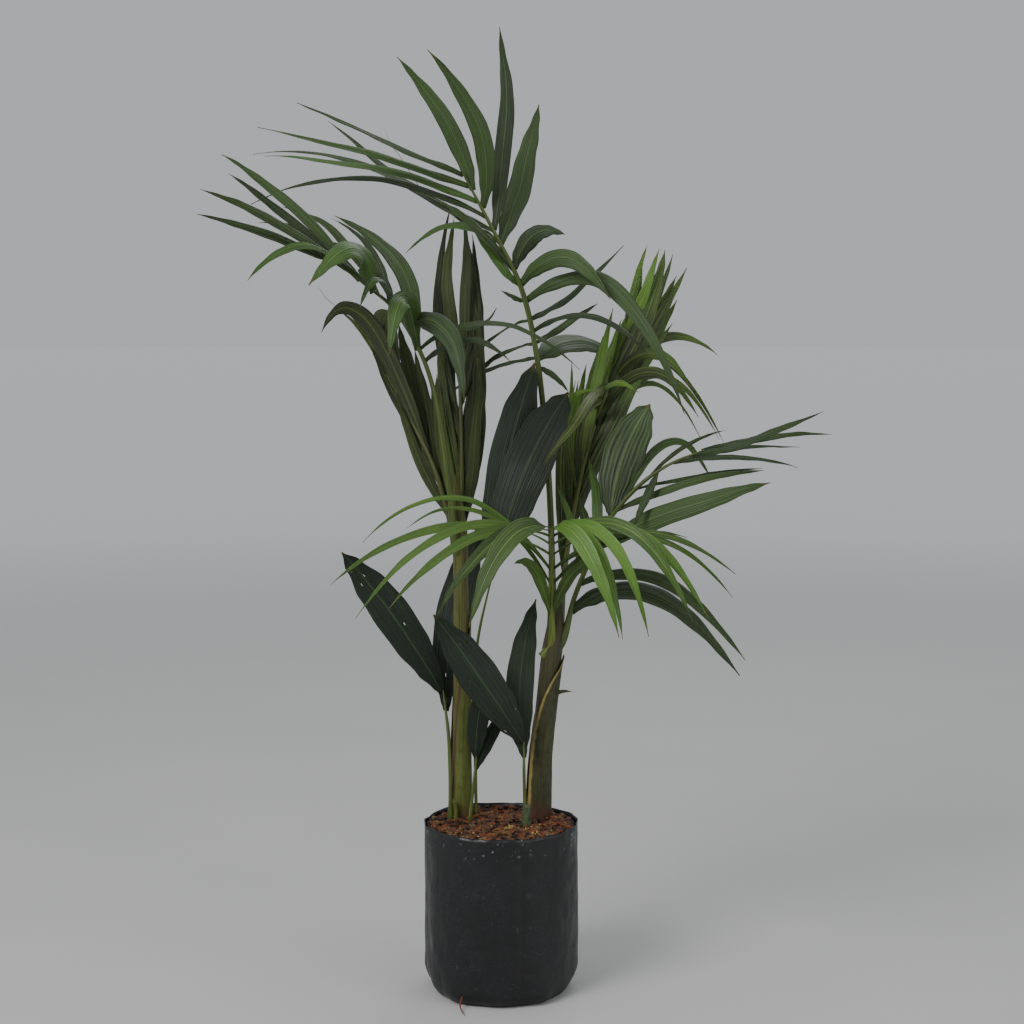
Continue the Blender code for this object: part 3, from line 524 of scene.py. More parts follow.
HUSK_THICKNESS = 0.0006
STUB_ENDS = ((0, 1.15), (0.5, 1), (0.92, 0.8), (1, 0.1))
BRACT_ENDS = ((0, 1.5), (0.5, 1), (1, 0.05))


def husk_material(name, dark, light, low_edge, high_edge):
    """A leaf base going dry: green along its middle, dead along both edges, brown and torn at the foot."""
    husk, shader = new_material(name)
    place = add(husk, "TexCoord").node
    uv = add(husk, "SeparateXYZ", {"Vector": place.outputs["UV"]}).node.outputs
    strands = {"X": math(husk, "MULTIPLY", uv["X"], 40.0), "Y": math(husk, "MULTIPLY", uv["Y"], 3.0)}
    strands = add(husk, "CombineXYZ", strands)
    fibre = add(husk, "TexNoise", {"Vector": strands, "Scale": 1.0, "Detail": 8.0, "Roughness": 0.7})
    stain = add(husk, "TexNoise", {"Vector": place.outputs["Object"], "Scale": 110.0, "Detail": 5.0})
    colour = blend(husk, spread(husk, fibre, 0.3, 0.7), linear(dark), linear(light))
    lean = math(husk, "ADD", uv["X"], math(husk, "MULTIPLY", stain, 0.05))
    colour = blend(husk, spread(husk, lean, 0.088, 0.06, 0.0, 0.9), colour, linear(low_edge))
    colour = blend(husk, spread(husk, lean, 0.95, 0.98, 0.0, 0.9), colour, linear(high_edge))
    colour = blend(husk, spread(husk, stain, 0.60, 0.76, 0.0, 0.4), colour, linear("3a2a16"))
    foot = math(husk, "ADD", uv["Y"], math(husk, "MULTIPLY", stain, 0.12))
    colour = blend(husk, spread(husk, foot, 0.24, 0.12, 0.0, 0.85), colour, linear("4c2c17"))
    height = math(husk, "ADD", fibre, math(husk, "MULTIPLY", stain, 0.5))
    finish(husk, shader, colour, spread(husk, stain, 0.3, 0.7, 0.5, 0.8), height, 0.0010)
    return husk


def make_husk(name, foot, points, radius, material, top, opening, taper, seed):
    """A leaf base wrapped round the stem: open down one side, ragged there, its top drawn to a point. Top is
    the share of its route that it covers, opening the angle it opens at, taper how late it narrows."""
    route = Route([foot - Vector((0, 0, 0.002))] + [foot + Vector(point) * UNIT for point in points])

    def place(u, v):
        share = v * top
        centre, direction = route.at(share)
        side, back = across(direction)
        tear = noise.noise(Vector((u * 5, seed, v * 3)))
        narrow = 1 - 0.94 * max(0.0, min(1.0, v + 0.06 * tear)) ** taper
        angle = opening + pi + radians(150) * (2 * u - 1) * narrow
        curl = 0.0010 + 0.0030 * max(0.0, 1 - v * 5)
        lift = 0.0006 + curl * abs(2 * u - 1) ** 5 + 0.0005 * noise.noise(Vector((u * 6, v * 9, seed)))
        reach = radius * ramp(((0, 1.12), (0.15, 1.08), (0.5, 0.98), (1, 0.97)), share) + lift
        drop = 0.006 * tear * v
        return centre + (side * cos(angle) + back * sin(angle)) * reach + direction * drop

    bm = bmesh.new()
    sheet(bm, 40, 60, place)
    husk = new_object(name, bm, material)
    shell = husk.modifiers.new("husk", "SOLIDIFY")
    shell.thickness = HUSK_THICKNESS
    shell.offset = 1
    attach(husk, "root")
    return husk


def make_stub(name, foot, points, radius, material, ends=STUB_ENDS):
    """A short ribbed rod, wider or narrower along it as the ends say."""
    route = Route([foot + Vector(point) * UNIT for point in points])
    bm = bmesh.new()
    tube(bm, route, lambda v: radius * ramp(ends, v), 14, 24, lambda a, v: 0.10 * sin(3 * a + 7 * v))
    stub = new_object(name, bm, material)
    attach(stub, "root")
    return stub


left_husk_skin = husk_material("drying left leaf base", "3c4415", "66702b", "50301f", "50301f")
right_husk_skin = husk_material("drying right leaf base", "22250f", "40431b", "94834a", "6a4526")
left_husk_points = ((0, 0, 0), (0.1, 0, 14), (0.1, 0, 26))
right_husk_points = ((0, 0, 0), (0.2, 0, 6.8), (0.9, 0, 14), (1.8, 0.2, 21))
left_husk = make_husk(
    "left_husk", LEFT_FOOT, left_husk_points, LEFT_RADIUS, left_husk_skin,
    top=0.98, opening=radians(195), taper=3.5, seed=2.5
)
right_husk = make_husk(
    "right_husk", RIGHT_FOOT, right_husk_points, RIGHT_RADIUS, right_husk_skin,
    top=0.95, opening=radians(188), taper=5, seed=7.1
)
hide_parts("left_outer_sheath")
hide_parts("right_outer_sheath")
dry_points = ((-0.6, -1.9, -0.6), (-0.5, -1.9, 1.2), (-0.8, -2, 2.6))
dry_stub = make_stub("withered_stub", LEFT_FOOT, dry_points, 0.0027, left_husk_skin)
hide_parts("dry_stub")
green_skin = husk_material("cut green petiole", "2f3d24", "566340", "6a4a30", "6a4a30")
green_points = ((-1.5, -4.8, -0.6), (-1.5, -4.8, 1), (-1.35, -4.9, 2.6))
green_stub = make_stub("cut_green_stub", RIGHT_FOOT, green_points, 0.0056, green_skin)
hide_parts("green_stub")
bract_points = ((1.6, -0.1, 15.1), (3, -0.3, 15.5), (4.2, -0.5, 15.5))
bract = make_stub("dry_bract", RIGHT_FOOT, bract_points, 0.0022, right_skin, BRACT_ENDS)
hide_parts("stem_bract")

# ---- Threads and a stray root ------------------------------------------------------------------------
# Fine dry threads that tear off the leaflets' edges as the fronds open, and one thin young root that lies
# on the ground at the bag's foot.

# A thread is its radius and the points that it runs through, in metres.
THREADS = (
    (0.00035, ((-0.018, 0.03, 0.717), (-0.023, 0.029, 0.695), (-0.024, 0.027, 0.67), (-0.025, 0.028, 0.65))),
    (0.00035, ((-0.0965, 0.02, 0.96), (-0.118, 0.02, 0.994), (-0.127, 0.021, 1.006), (-0.137, 0.02, 1.028))),
    (0.0003, ((-0.191, -0.05, 0.82), (-0.2, -0.05, 0.828), (-0.207, -0.052, 0.838), (-0.211, -0.05, 0.842))),
)
STRAY_ROOT_RADIUS = 0.0011
STRAY_ROOT = (
    (-0.044, -0.079, 0.014), (-0.047, -0.092, 0.006), (-0.044, -0.104, 0.002), (-0.041, -0.114, 0.0012)
)


def make_strands(name, strands, material):
    """Thin strands as one piece, each finer towards its end."""
    bm = bmesh.new()
    for radius, points in strands:
        route = Route([Vector(point) for point in points])
        tube(bm, route, lambda v: radius * ramp(((0, 1), (0.6, 0.8), (1, 0.25)), v), 8, 30)
    piece = new_object(name, bm, material)
    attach(piece, "root")


root_skin = husk_material("young root", "5a2a18", "8a4a2c", "5a2a18", "5a2a18")
make_strands("leaf_threads", THREADS, green_skin)
make_strands("stray_root", [(STRAY_ROOT_RADIUS, STRAY_ROOT)], root_skin)

# ---- How a palm leaf is put together -----------------------------------------------------------------
# A feather frond is a stiff green midrib with strap leaflets along both sides. Each leaflet is a thin
# sheet, ridged along its middle and finely ribbed, narrow where it joins and drawn out to a fine tip.

Leaflet = namedtuple("Leaflet", "side at tip bow width turn")
# side: L or R of the midrib; at: percent of the way up it; tip: where the leaflet ends and bow: how far its
# middle stands off the straight line, in growth units (right, back, up); width: in tenths of a unit, which
# are about a millimetre; turn: degrees by which its face looks up rather than forward.
# STRAP, LOBE and BLUNT: a leaflet's width along it, as (share of its length, share of its full width).
STRAP = (
    (0, 0.34), (0.05, 0.42), (0.16, 0.78), (0.34, 1), (0.52, 0.96), (0.72, 0.72), (0.88, 0.36), (1, 0.03)
)
LOBE = (
    (0, 0.16), (0.05, 0.34), (0.14, 0.64), (0.3, 0.93), (0.5, 1), (0.7, 0.86), (0.88, 0.46), (1, 0.04)
)
BLUNT = (
    (0, 0.14), (0.05, 0.3), (0.16, 0.62), (0.34, 0.9), (0.56, 1), (0.77, 0.9), (0.92, 0.5), (1, 0.04)
)
BROAD = 40  # a leaflet wider than this is built as a lobe, with more and finer ribs
BLADE_THICKNESS = 0.00035
CROWN_PULL = 0.35  # a frond leaves the crown at this share of its own first distance from the stem's axis


def leaf_material(name, deep, fresh, rib, dry, gloss, ribs, lines_share=0.25, tips=0.12):
    """Living leaf, waxy and half glossy: fine parallel ribs, a pale midrib, mottled green, a few scars and a
    drying tip. Each leaflet has a tone of its own; tips says how much lighter its outer half is."""
    skin, shader = new_material(name)
    place = add(skin, "TexCoord").node
    uv = add(skin, "SeparateXYZ", {"Vector": place.outputs["UV"]}).node.outputs
    tone = add(skin, "Attribute", attribute_name="tone").node.outputs["Fac"]
    lane = math(skin, "MULTIPLY", uv["X"], ribs)
    drift = math(skin, "MULTIPLY", tone, 37.0)
    streak = {"X": math(skin, "MULTIPLY", lane, 2.3), "Y": math(skin, "MULTIPLY", uv["Y"], 2.5), "Z": drift}
    streak = add(skin, "CombineXYZ", streak)
    streak = add(skin, "TexNoise", {"Vector": streak, "Scale": 1.0, "Detail": 5.0, "Roughness": 0.6})
    cloud = add(skin, "TexNoise", {"Vector": place.outputs["Object"], "Scale": 26.0, "Detail": 5.0})
    wave = math(skin, "SINE", math(skin, "MULTIPLY", lane, 2 * pi))
    off = math(skin, "ABSOLUTE", math(skin, "SUBTRACT", uv["X"], 0.5))
    shade = math(skin, "ADD", math(skin, "MULTIPLY", tone, 0.55), math(skin, "MULTIPLY", cloud, 0.45))
    shade = math(skin, "ADD", shade, math(skin, "MULTIPLY", math(skin, "SUBTRACT", uv["Y"], 0.5), tips))
    colour = blend(skin, spread(skin, shade, 0.25, 0.78), linear(deep), linear(fresh))
    light = math(skin, "MULTIPLY", spread(skin, streak, 0.42, 0.72), 0.2 + lines_share)
    colour = blend(skin, light, colour, linear(rib))
    lines = math(skin, "MULTIPLY", spread(skin, wave, 0.55, 1.0), lines_share)
    colour = blend(skin, lines, colour, linear(rib))
    colour = blend(skin, math(skin, "MULTIPLY", spread(skin, off, 0.035, 0.012), 0.6), colour, linear(rib))
    spots = add(skin, "TexVoronoi", {"Vector": place.outputs["Object"], "Scale": 95.0})
    scar = math(skin, "MULTIPLY", spread(skin, spots, 0.13, 0.06), spread(skin, cloud, 0.62, 0.70))
    colour = blend(skin, math(skin, "MULTIPLY", scar, 0.5), colour, linear("8a8a4c"))
    reach = math(skin, "ADD", uv["Y"], math(skin, "MULTIPLY", cloud, 0.05))
    reach = math(skin, "ADD", reach, math(skin, "MULTIPLY", tone, 0.03))
    colour = blend(skin, math(skin, "MULTIPLY", spread(skin, reach, 0.985, 1.04), 0.85), colour, linear(dry))
    rough = spread(skin, cloud, 0.3, 0.7, gloss, gloss + 0.14)
    height = math(skin, "ADD", math(skin, "MULTIPLY", wave, 0.25), streak)
    finish(skin, shader, colour, rough, height, 0.0007)
    return skin


def rachis_material(name, dark, light):
    """Midrib skin: smooth and half glossy, with long fibres in it and a few dull patches."""
    skin, shader = new_material(name)
    place = add(skin, "TexCoord").node
    uv = add(skin, "SeparateXYZ", {"Vector": place.outputs["UV"]}).node.outputs
    lanes = {"X": math(skin, "MULTIPLY", uv["X"], 26.0), "Y": math(skin, "MULTIPLY", uv["Y"], 5.0)}
    lanes = add(skin, "CombineXYZ", lanes)
    fibre = add(skin, "TexNoise", {"Vector": lanes, "Scale": 1.0, "Detail": 5.0, "Roughness": 0.6})
    cloud = add(skin, "TexNoise", {"Vector": place.outputs["Object"], "Scale": 50.0, "Detail": 4.0})
    colour = blend(skin, spread(skin, fibre, 0.35, 0.68), linear(dark), linear(light))
    colour = blend(skin, spread(skin, cloud, 0.55, 0.75, 0.0, 0.5), colour, linear("4c4a22"))
    finish(skin, shader, colour, spread(skin, cloud, 0.3, 0.7, 0.38, 0.52), fibre, 0.0005)
    return skin


def blade(bm, root, upward, leaflet, foot, profile, columns, rows, ridge, pleats, loose=1.0, hole_chance=0.0):
    """One leaflet as a sheet. Its width starts along the midrib and is carried round with every bend. Pleats
    are how many half waves of rib it has, and their depth; loose is how freely it sways and twists."""
    hand = 1 if leaflet.side == "R" else -1
    reach = foot + Vector(leaflet.tip) * UNIT - root
    bow = Vector(leaflet.bow) * UNIT
    turn = radians(leaflet.turn)
    facing = Vector((0, -cos(turn), sin(turn)))
    half = leaflet.width / 2 * UNIT / 10
    phase = chance.uniform(0, 50)
    curl = chance.uniform(-0.25, 0.35)
    twist = radians(chance.uniform(-38, 38)) * loose / (1 + (leaflet.width / 24) ** 2)
    sway = min(0.006, reach.length * 0.022) * loose
    last_direction = across(upward)[0] * hand
    carried = upward.copy()
    aim = carried
    frames = []
    for row in range(rows + 1):
        t = row / rows
        centre = root + reach * t + bow * (4 * t * (1 - t))
        drift = [noise.noise(Vector((phase + 20 * axis, t * 2.2, 0))) for axis in range(3)]
        centre += Vector(drift) * (sway * 4 * t * (1 - t))
        direction = (reach + bow * (4 - 8 * t)).normalized()
        swing = last_direction.rotation_difference(direction)
        carried = swing @ carried
        aim = swing @ aim
        wide = direction.cross(facing).normalized()
        if wide.dot(aim) < 0:
            wide = -wide
        aim = wide
        wide = carried.lerp(wide, ramp(((0, 0), (0.22, 1)), t))
        wide = (wide - direction * wide.dot(direction)).normalized()
        wide = Quaternion(direction, twist * t * t) @ wide
        frames.append((centre, wide, direction.cross(wide) * hand))
        last_direction = direction

    def place(u, v):
        centre, wide, normal = frames[round(v * rows)]
        x = 2 * u - 1
        breadth = half * ramp(profile, v) * (1 + 0.05 * loose * noise.noise(Vector((phase, v * 7, 0))))
        fold = -ridge * (1.5 - v) * abs(x) ** 1.15
        roll = curl * v * v * x * x
        rib = pleats[1] * cos(pi * pleats[0] * x) * ramp(((0, 0.3), (0.15, 1), (0.8, 1), (1, 0.2)), v)
        ripple = 0.0012 * loose * x * x * noise.noise(Vector((x * 0.8 + phase, v * 9, phase)))
        return centre + wide * (x * breadth) + normal * ((fold + roll) * breadth + rib + ripple)

    if leaflet.bow[1] < -5:
        tone = -0.5  # the two that hang far out in front are the darkest
    else:
        tone = chance.random() * (0.25 if leaflet.width > BROAD else 1)
    made = sheet(bm, columns, rows, place, tone)
    if hole_chance:
        cells = sorted({face for vert in made for face in vert.link_faces}, key=lambda face: face.index)
        inner = [face for face in cells if all(len(vert.link_faces) == 4 for vert in face.verts)]
        torn = [face for face in inner if chance.random() < hole_chance]
        bmesh.ops.delete(bm, geom=torn, context="FACES")


def frond(
    node, slot_name, foot, stalk, leaflets, skins, petiole,
    all_broad=False, profile=BLUNT, pull=CROWN_PULL, sink=0.02, flare=1, holes=0
):
    """A whole leaf: the midrib, swollen where it joins the stem, and the blades on it. It starts below its
    first point: sink is how far, flare how much wider it is there, pull how near to it from side to side."""
    upper_skin, under_skin, midrib_skin = skins
    name = node.rsplit("_", 1)[0]
    points = [foot + Vector(point) * UNIT for point in stalk]
    route = Route(points)
    low = points[0]
    start = Vector((foot.x + (low.x - foot.x) * pull, foot.y + (low.y - foot.y) * CROWN_PULL, low.z - sink))
    long_route = Route([start] + points)

    def radius_at(share):
        return petiole / 2 * ramp(((0, flare), (0.24, 1), (0.7, 0.84), (0.9, 0.55), (1, 0.3)), share)

    def groove(angle, share):
        return -0.10 * max(0.0, sin(angle)) ** 3 + 0.03 * sin(6 * angle)

    rod = bmesh.new()
    tube(rod, long_route, radius_at, columns=14, rows=90, shape=groove)
    midrib = new_object(name + "_midrib", rod, midrib_skin)
    bm = bmesh.new()
    for leaflet in leaflets:
        centre, upward = route.at(leaflet.at / 100)
        hand = 1 if leaflet.side == "R" else -1
        joint = centre + across(upward)[0] * hand * 0.0008
        if all_broad or leaflet.width > BROAD:
            blade(bm, joint, upward, leaflet, foot, profile, 36, 56, 0.16, (9, 0.0003), 0.3, holes)
        else:
            pleats = (3, 0.00022 + 0.000008 * leaflet.width)
            blade(bm, joint, upward, leaflet, foot, STRAP, 10, 44, 0.22, pleats)
    blades = new_object(name + "_blades", bm, upper_skin, under_skin)
    shell = blades.modifiers.new("blade", "SOLIDIFY")
    shell.thickness = BLADE_THICKNESS
    shell.offset = 0
    shell.material_offset = 1
    for piece in (midrib, blades):
        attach(piece, "root")
    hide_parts(node)


mature = (
    leaf_material("mature leaflet, upper face", "16240c", "38581d", "64803a", "7a6337", 0.40, 9.0),
    leaf_material("mature leaflet, under face", "1a2811", "344a1e", "506834", "7a6337", 0.52, 9.0),
    rachis_material("mature midrib", "2c3a14", "5a6a26"),
)
# A darker copy of the mature leaf whose colours hold painted shade, for the hooked frond and the left palm's
# new bundle.
shaded = (
    leaf_material("painted-shade leaflet, upper face", "141d08", "34430f", "5f6c26", "7a6337", 0.44, 9.0),
    leaf_material("painted-shade leaflet, under face", "171f0b", "2f3d14", "525e28", "7a6337", 0.54, 9.0),
    rachis_material("painted-shade midrib", "2b3012", "55591f"),
)
young = (
    leaf_material("young leaflet, upper face", "29480f", "517c24", "7f9c3f", "8a7442", 0.36, 8.0),
    leaf_material("young leaflet, under face", "283f13", "476624", "6c8738", "8a7442", 0.48, 8.0),
    rachis_material("young midrib", "3f4f18", "768530"),
)
opening = (
    leaf_material("opening leaflet, upper face", "141f08", "4f7a22", "86983c", "8a7442", 0.38, 7, 0.3, 0.75),
    leaf_material("opening leaflet, under face", "161f0a", "44631f", "6d7f34", "8a7442", 0.48, 7, 0.3, 0.75),
    rachis_material("opening midrib", "3a4416", "6a762c"),
)
seedling = (
    leaf_material("seedling lobe, upper face", "0a170a", "1a3015", "35502b", "6e5a34", 0.50, 20.0, 0.10),
    leaf_material("seedling lobe, under face", "0e1a0c", "1f3218", "384d2c", "6e5a34", 0.58, 20.0, 0.10),
    rachis_material("seedling petiole", "37431b", "64722f"),
)

# ---- The left palm's fronds --------------------------------------------------------------------------
# A mature frond arching over to the left, one whose tip hooks over, and the newest, still a bundle of
# upright leaflets that have not spread. Living leaf, joined in the crown at the top of the stem.

ARCHING_STALK = (
    (-0.6, -0.9, 34.25),
    (-1.7, -2.7, 45),
    (-3.6, -4, 54.5),
    (-7, -6.5, 61.3),
    (-10.5, -9.5, 64.6),
    (-13.7, -12, 67.3),
)

ARCHING_LEAFLETS = (
    Leaflet("R", 56, (6, -12, 56), (0, -1, 2.5), 12, 50),
    Leaflet("R", 60, (14, -13, 55), (0, -1.5, 4.5), 11, 55),
    Leaflet("L", 60, (-7.5, -17, 56.5), (0, -1.5, 6), 27, 15),
    Leaflet("R", 64, (-15, 2, 73), (3, 0.5, 1.5), 22, 30),
    Leaflet("R", 68, (1, -18, 51.5), (1, -1, 4), 27, 20),
    Leaflet("L", 71, (-10.7, -17, 62), (0, -1, 4), 13, 40),
    Leaflet("R", 73, (4.5, -7, 62), (2, 1, -2), 10, 40),
    Leaflet("R", 75.5, (-17, 4, 70), (1.5, 1, 1.5), 12, 35),
    Leaflet("R", 78, (-15, -2.5, 72.5), (1.5, 0, 1), 9, 40),
    Leaflet("R", 82, (-21, 0, 74), (1, 0.5, 1.5), 11, 35),
    Leaflet("L", 84, (-16, -21, 64.5), (1.5, -1, 4.5), 32, 30),
    Leaflet("R", 87, (-23.5, -3, 72), (0, 0.5, 2), 9, 35),
    Leaflet("L", 90, (-22.8, -20, 65), (0, -1, 4), 15, 50),
    Leaflet("R", 92, (-27, -9, 79.5), (0, 0, 1.5), 13, 35),
    Leaflet("R", 96, (-25.5, -14, 77), (0, -0.5, 0.5), 11, 35),
    Leaflet("L", 96, (-28, -19, 75), (0, -0.5, 1), 12, 35),
    Leaflet("L", 99, (-29, -15.5, 72.5), (0, 0.5, 0.5), 12, 35),
)

HOOKED_STALK = (
    (-0.7, 0.7, 34.3),
    (-2.9, 1.5, 42),
    (-5.7, 3, 48),
    (-7.6, 4.2, 52),
    (-9.2, 5.5, 55.2),
)

HOOKED_LEAFLETS = (
    Leaflet("L", 12, (-8, 3.5, 52), (-0.5, 0.5, 0), 14, 15),
    Leaflet("R", 12, (-3.6, 4.5, 54), (0, 0.3, 0), 14, 15),
    Leaflet("R", 30, (-5.7, 7, 57), (0, 0.5, 0), 16, 20),
    Leaflet("L", 30, (-11.2, 6, 57.5), (-0.5, 1, 1), 14, 15),
    Leaflet("L", 44, (-16.8, 3, 59), (-1, 2, 9), 22, 10),
    Leaflet("R", 50, (-7.8, 9.5, 60), (0, 0.5, 0), 22, 15),
    Leaflet("L", 75, (-15, 10, 61.5), (0, 0.5, 1.5), 9, 10),
    Leaflet("R", 85, (-10.3, 5, 57), (-0.5, 2, 6), 24, 10),
)

LEFT_NEW_STALK = ((0.4, 0.6, 34.2), (0.2, 1.5, 44), (0, 3.2, 53), (-0.1, 5, 60))
LEFT_NEW_LEAFLETS = (
    Leaflet("L", 6, (-2.3, 1.5, 52), (-0.6, 0, 0), 15, 10),
    Leaflet("R", 6, (2.4, 0.8, 54), (0.4, 0, 0), 15, 10),
    Leaflet("L", 20, (-2.6, 4, 58), (-0.5, 0, 0), 15, 5),
    Leaflet("R", 20, (1.6, 2.6, 59), (1, 0, 0), 16, 5),
    Leaflet("R", 36, (2, 5.5, 65), (1, 0, 0), 15, 0),
    Leaflet("L", 36, (-2.1, 8.5, 64), (-0.5, 0.5, 0), 17, 5),
    Leaflet("L", 55, (-1.3, 10, 74.5), (-2, 0, 0), 12, 0),
    Leaflet("R", 62, (1.4, 7.5, 71), (1.2, 0, 0), 13, 0),
    Leaflet("L", 75, (-0.8, 7.5, 73), (-1, 0, 0), 16, 0),
    Leaflet("R", 84, (0.5, 5.5, 73), (0.5, -0.5, 0), 14, 0),
)

# The leaflets packed inside the bundle, which only show between the others.
LEFT_NEW_INNER = (
    Leaflet("L", 10, (-2.8, 2.5, 54), (-0.9, 0.2, 0), 17, 8),
    Leaflet("R", 12, (2.2, 1.8, 56), (0.9, 0.2, 0), 17, 8),
    Leaflet("L", 28, (-2.4, 6, 60), (-0.8, 0.3, 0), 17, 5),
    Leaflet("R", 28, (1.9, 4, 62), (1.2, 0.2, 0), 17, 3),
    Leaflet("L", 46, (-1.9, 9, 66), (-1, 0.3, 0), 16, 0),
    Leaflet("R", 48, (1.8, 6.5, 67), (1.2, 0.2, 0), 16, 0),
    Leaflet("R", 72, (1, 6.5, 70), (0.9, 0, 0), 14, 0),
)

left_bundle = LEFT_NEW_LEAFLETS + LEFT_NEW_INNER
frond(
    "arching_frond", "mature_leaf", LEFT_FOOT, ARCHING_STALK, ARCHING_LEAFLETS, mature,
    petiole=0.0062, flare=2
)
frond(
    "hooked_frond", "mature_leaf", LEFT_FOOT, HOOKED_STALK, HOOKED_LEAFLETS, shaded,
    petiole=0.0062, flare=2
)
frond(
    "left_new_frond", "young_leaf", LEFT_FOOT, LEFT_NEW_STALK, left_bundle, shaded,
    petiole=0.006, flare=2
)

# ---- The right palm's fronds -------------------------------------------------------------------------
# The tallest frond rises between the two palms, a half-open one stands behind, a bright one spreads low
# in front and one reaches out to the right. Living leaf, joined in the crown of the thicker stem.

TALL_STALK = (
    (1.6, 0.9, 21.7),
    (1.5, 1, 35.7),
    (0.7, 0.5, 48),
    (-0.4, -0.5, 57),
    (-2.2, -2, 64.5),
    (-5.4, -3.5, 71),
    (-9, -4.5, 77.7),
)

TALL_LEAFLETS = (
    Leaflet("R", 57, (3.5, -2, 52), (0, 0, 0.5), 8, 30),
    Leaflet("L", 59, (-11.5, 9.5, 51), (0, 3, 1), 10, 45),
    Leaflet("R", 59, (11.4, 19, 54.5), (0, 1, 2.7), 34, 30),
    Leaflet("L", 62, (-8, 8.5, 53.5), (0, 3, 0.5), 10, 45),
    Leaflet("R", 62, (7, 0, 62.5), (0, 0, 0), 10, 40),
    Leaflet("R", 64.5, (12.5, -12, 56.5), (0, 0, 3.3), 12, 50),
    Leaflet("L", 67, (-8.5, 8.5, 56), (0, 3, 0.5), 9, 45),
    Leaflet("R", 67, (10.3, 4, 69.5), (-0.5, 0, -1), 13, 70),
    Leaflet("L", 71, (-4.5, -4, 64), (0, 0, 0), 8, 30),
    Leaflet("R", 71, (16.3, -15, 50), (1, 0, 8), 21, 25),
    Leaflet("L", 74.5, (-8.5, -2, 72.5), (0.5, -1, -1), 12, 40),
    Leaflet("R", 74.5, (8, -11, 63), (0, 0, 4), 23, 15),
    Leaflet("L", 78, (-12, -5, 74.5), (0, -1, 1), 14, 45),
    Leaflet("R", 78, (3, -6, 70.5), (-0.7, 0, 2), 22, 10),
    Leaflet("L", 81, (-35.5, 12, 81), (0, 1, 4.5), 13, 50),
    Leaflet("L", 84, (-16, 0.5, 68.5), (0, 0.5, 3), 11, 40),
    Leaflet("R", 84, (0, 5, 86.5), (0.4, 0, 0), 28, 10),
    Leaflet("L", 87, (-26, 11, 85), (0, 0, -1), 13, 50),
    Leaflet("R", 87, (-4.7, -3, 94.7), (1, 0, 0), 20, 10),
    Leaflet("L", 90, (-35, 5, 74.5), (0, 0, 4), 12, 50),
    Leaflet("R", 92, (-12.8, -12, 91), (2.8, 0, 0), 22, 10),
    Leaflet("L", 93.5, (-32.7, 0.5, 80), (0, 0, 1.5), 15, 55),
    Leaflet("R", 96, (-16.6, -5, 91), (1.4, 0, 0), 21, 10),
    Leaflet("L", 97, (-32.5, -8, 82.7), (0, 0, 0.7), 17, 55),
    Leaflet("L", 99.5, (-27.5, -13, 85), (0, -0.5, 0.5), 15, 60),
)

RIGHT_NEW_STALK = (
    (2.4, 1.3, 21.75),
    (3.3, 2.5, 30.7),
    (4.5, 4, 38),
    (6.6, 6.5, 46.5),
    (9.3, 9, 53.2),
    (12.2, 11.5, 58.7),
)

RIGHT_NEW_LEAFLETS = (
    Leaflet("L", 20, (4.6, 7, 53), (-1, 0, 0), 13, 5),
    Leaflet("L", 30, (4.2, 9.5, 55.5), (0, 0.5, 0), 10, 5),
    Leaflet("R", 32, (11.5, 8.5, 53), (0, 0, 1), 16, 5),
    Leaflet("L", 38, (6, 8.5, 55), (-0.6, 0.4, 0.5), 15, 5),
    Leaflet("L", 46, (7, -2, 52), (-2.3, 0, 3.8), 10, 20),
    Leaflet("R", 50, (20.8, 15, 45.5), (0, 1.2, 9), 9, 30),
    Leaflet("L", 53, (9.2, 7, 62), (-0.3, 0, 0), 15, 5),
    Leaflet("R", 57, (22.8, 11, 45.5), (0, 1.5, 9), 10, 30),
    Leaflet("L", 62, (11.9, 14, 62), (-0.4, 0.4, 0.2), 13, 5),
    Leaflet("R", 62, (18.7, 12.5, 67), (0, 0, -0.5), 20, 0),
    Leaflet("R", 67, (19, -2, 49), (0, -1.5, 6), 15, 20),
    Leaflet("L", 70, (11.8, -3, 52), (-1, -1.5, 2.5), 11, 30),
    Leaflet("R", 72, (17.1, 15, 68.7), (1, 0.4, 0), 14, 0),
    Leaflet("L", 76, (0.6, -11.5, 44), (1, -6, 2.5), 10, 40),
    Leaflet("R", 77, (15.8, 10.5, 69.2), (1, -0.5, 0), 25, 0),
    Leaflet("L", 81, (0, -12.5, 43.5), (0.7, -6, 2.5), 13, 40),
    Leaflet("R", 82, (18.3, 1, 52.5), (0, 0, 3.8), 16, 25),
    Leaflet("R", 87, (22.8, 14, 56), (0, 0.8, 3.2), 13, 20),
    Leaflet("L", 88, (15, 9, 69.2), (0, -0.4, 0), 15, 0),
    Leaflet("R", 92, (23.5, 12, 45), (0, 2, 4), 7, 30),
    Leaflet("L", 94, (13.7, 12, 69.8), (-0.5, 0, 0), 11, 0),
    Leaflet("R", 97, (13.2, 14, 67.7), (0, 0, 0), 9, 0),
)

# The leaflets packed inside this bundle.
RIGHT_NEW_INNER = (
    Leaflet("L", 25, (5, 8.5, 53), (-0.6, 0.3, 0), 15, 5),
    Leaflet("R", 40, (14.5, 9, 57), (0, 0, 1), 18, 5),
    Leaflet("L", 48, (8, 8, 58.5), (-0.4, 0.3, 0), 17, 5),
    Leaflet("R", 53, (16.8, 11, 60), (0, 0, 0.6), 19, 5),
    Leaflet("L", 57, (10.4, 10.5, 60.5), (-0.3, 0.2, 0), 17, 5),
    Leaflet("R", 65, (17.6, 13.5, 63), (0.4, 0.2, 0), 19, 0),
    Leaflet("L", 66, (12.6, 12, 63.5), (-0.3, 0.2, 0), 16, 0),
    Leaflet("R", 80, (17.4, 12.5, 66), (0.6, 0, 0), 18, 0),
)

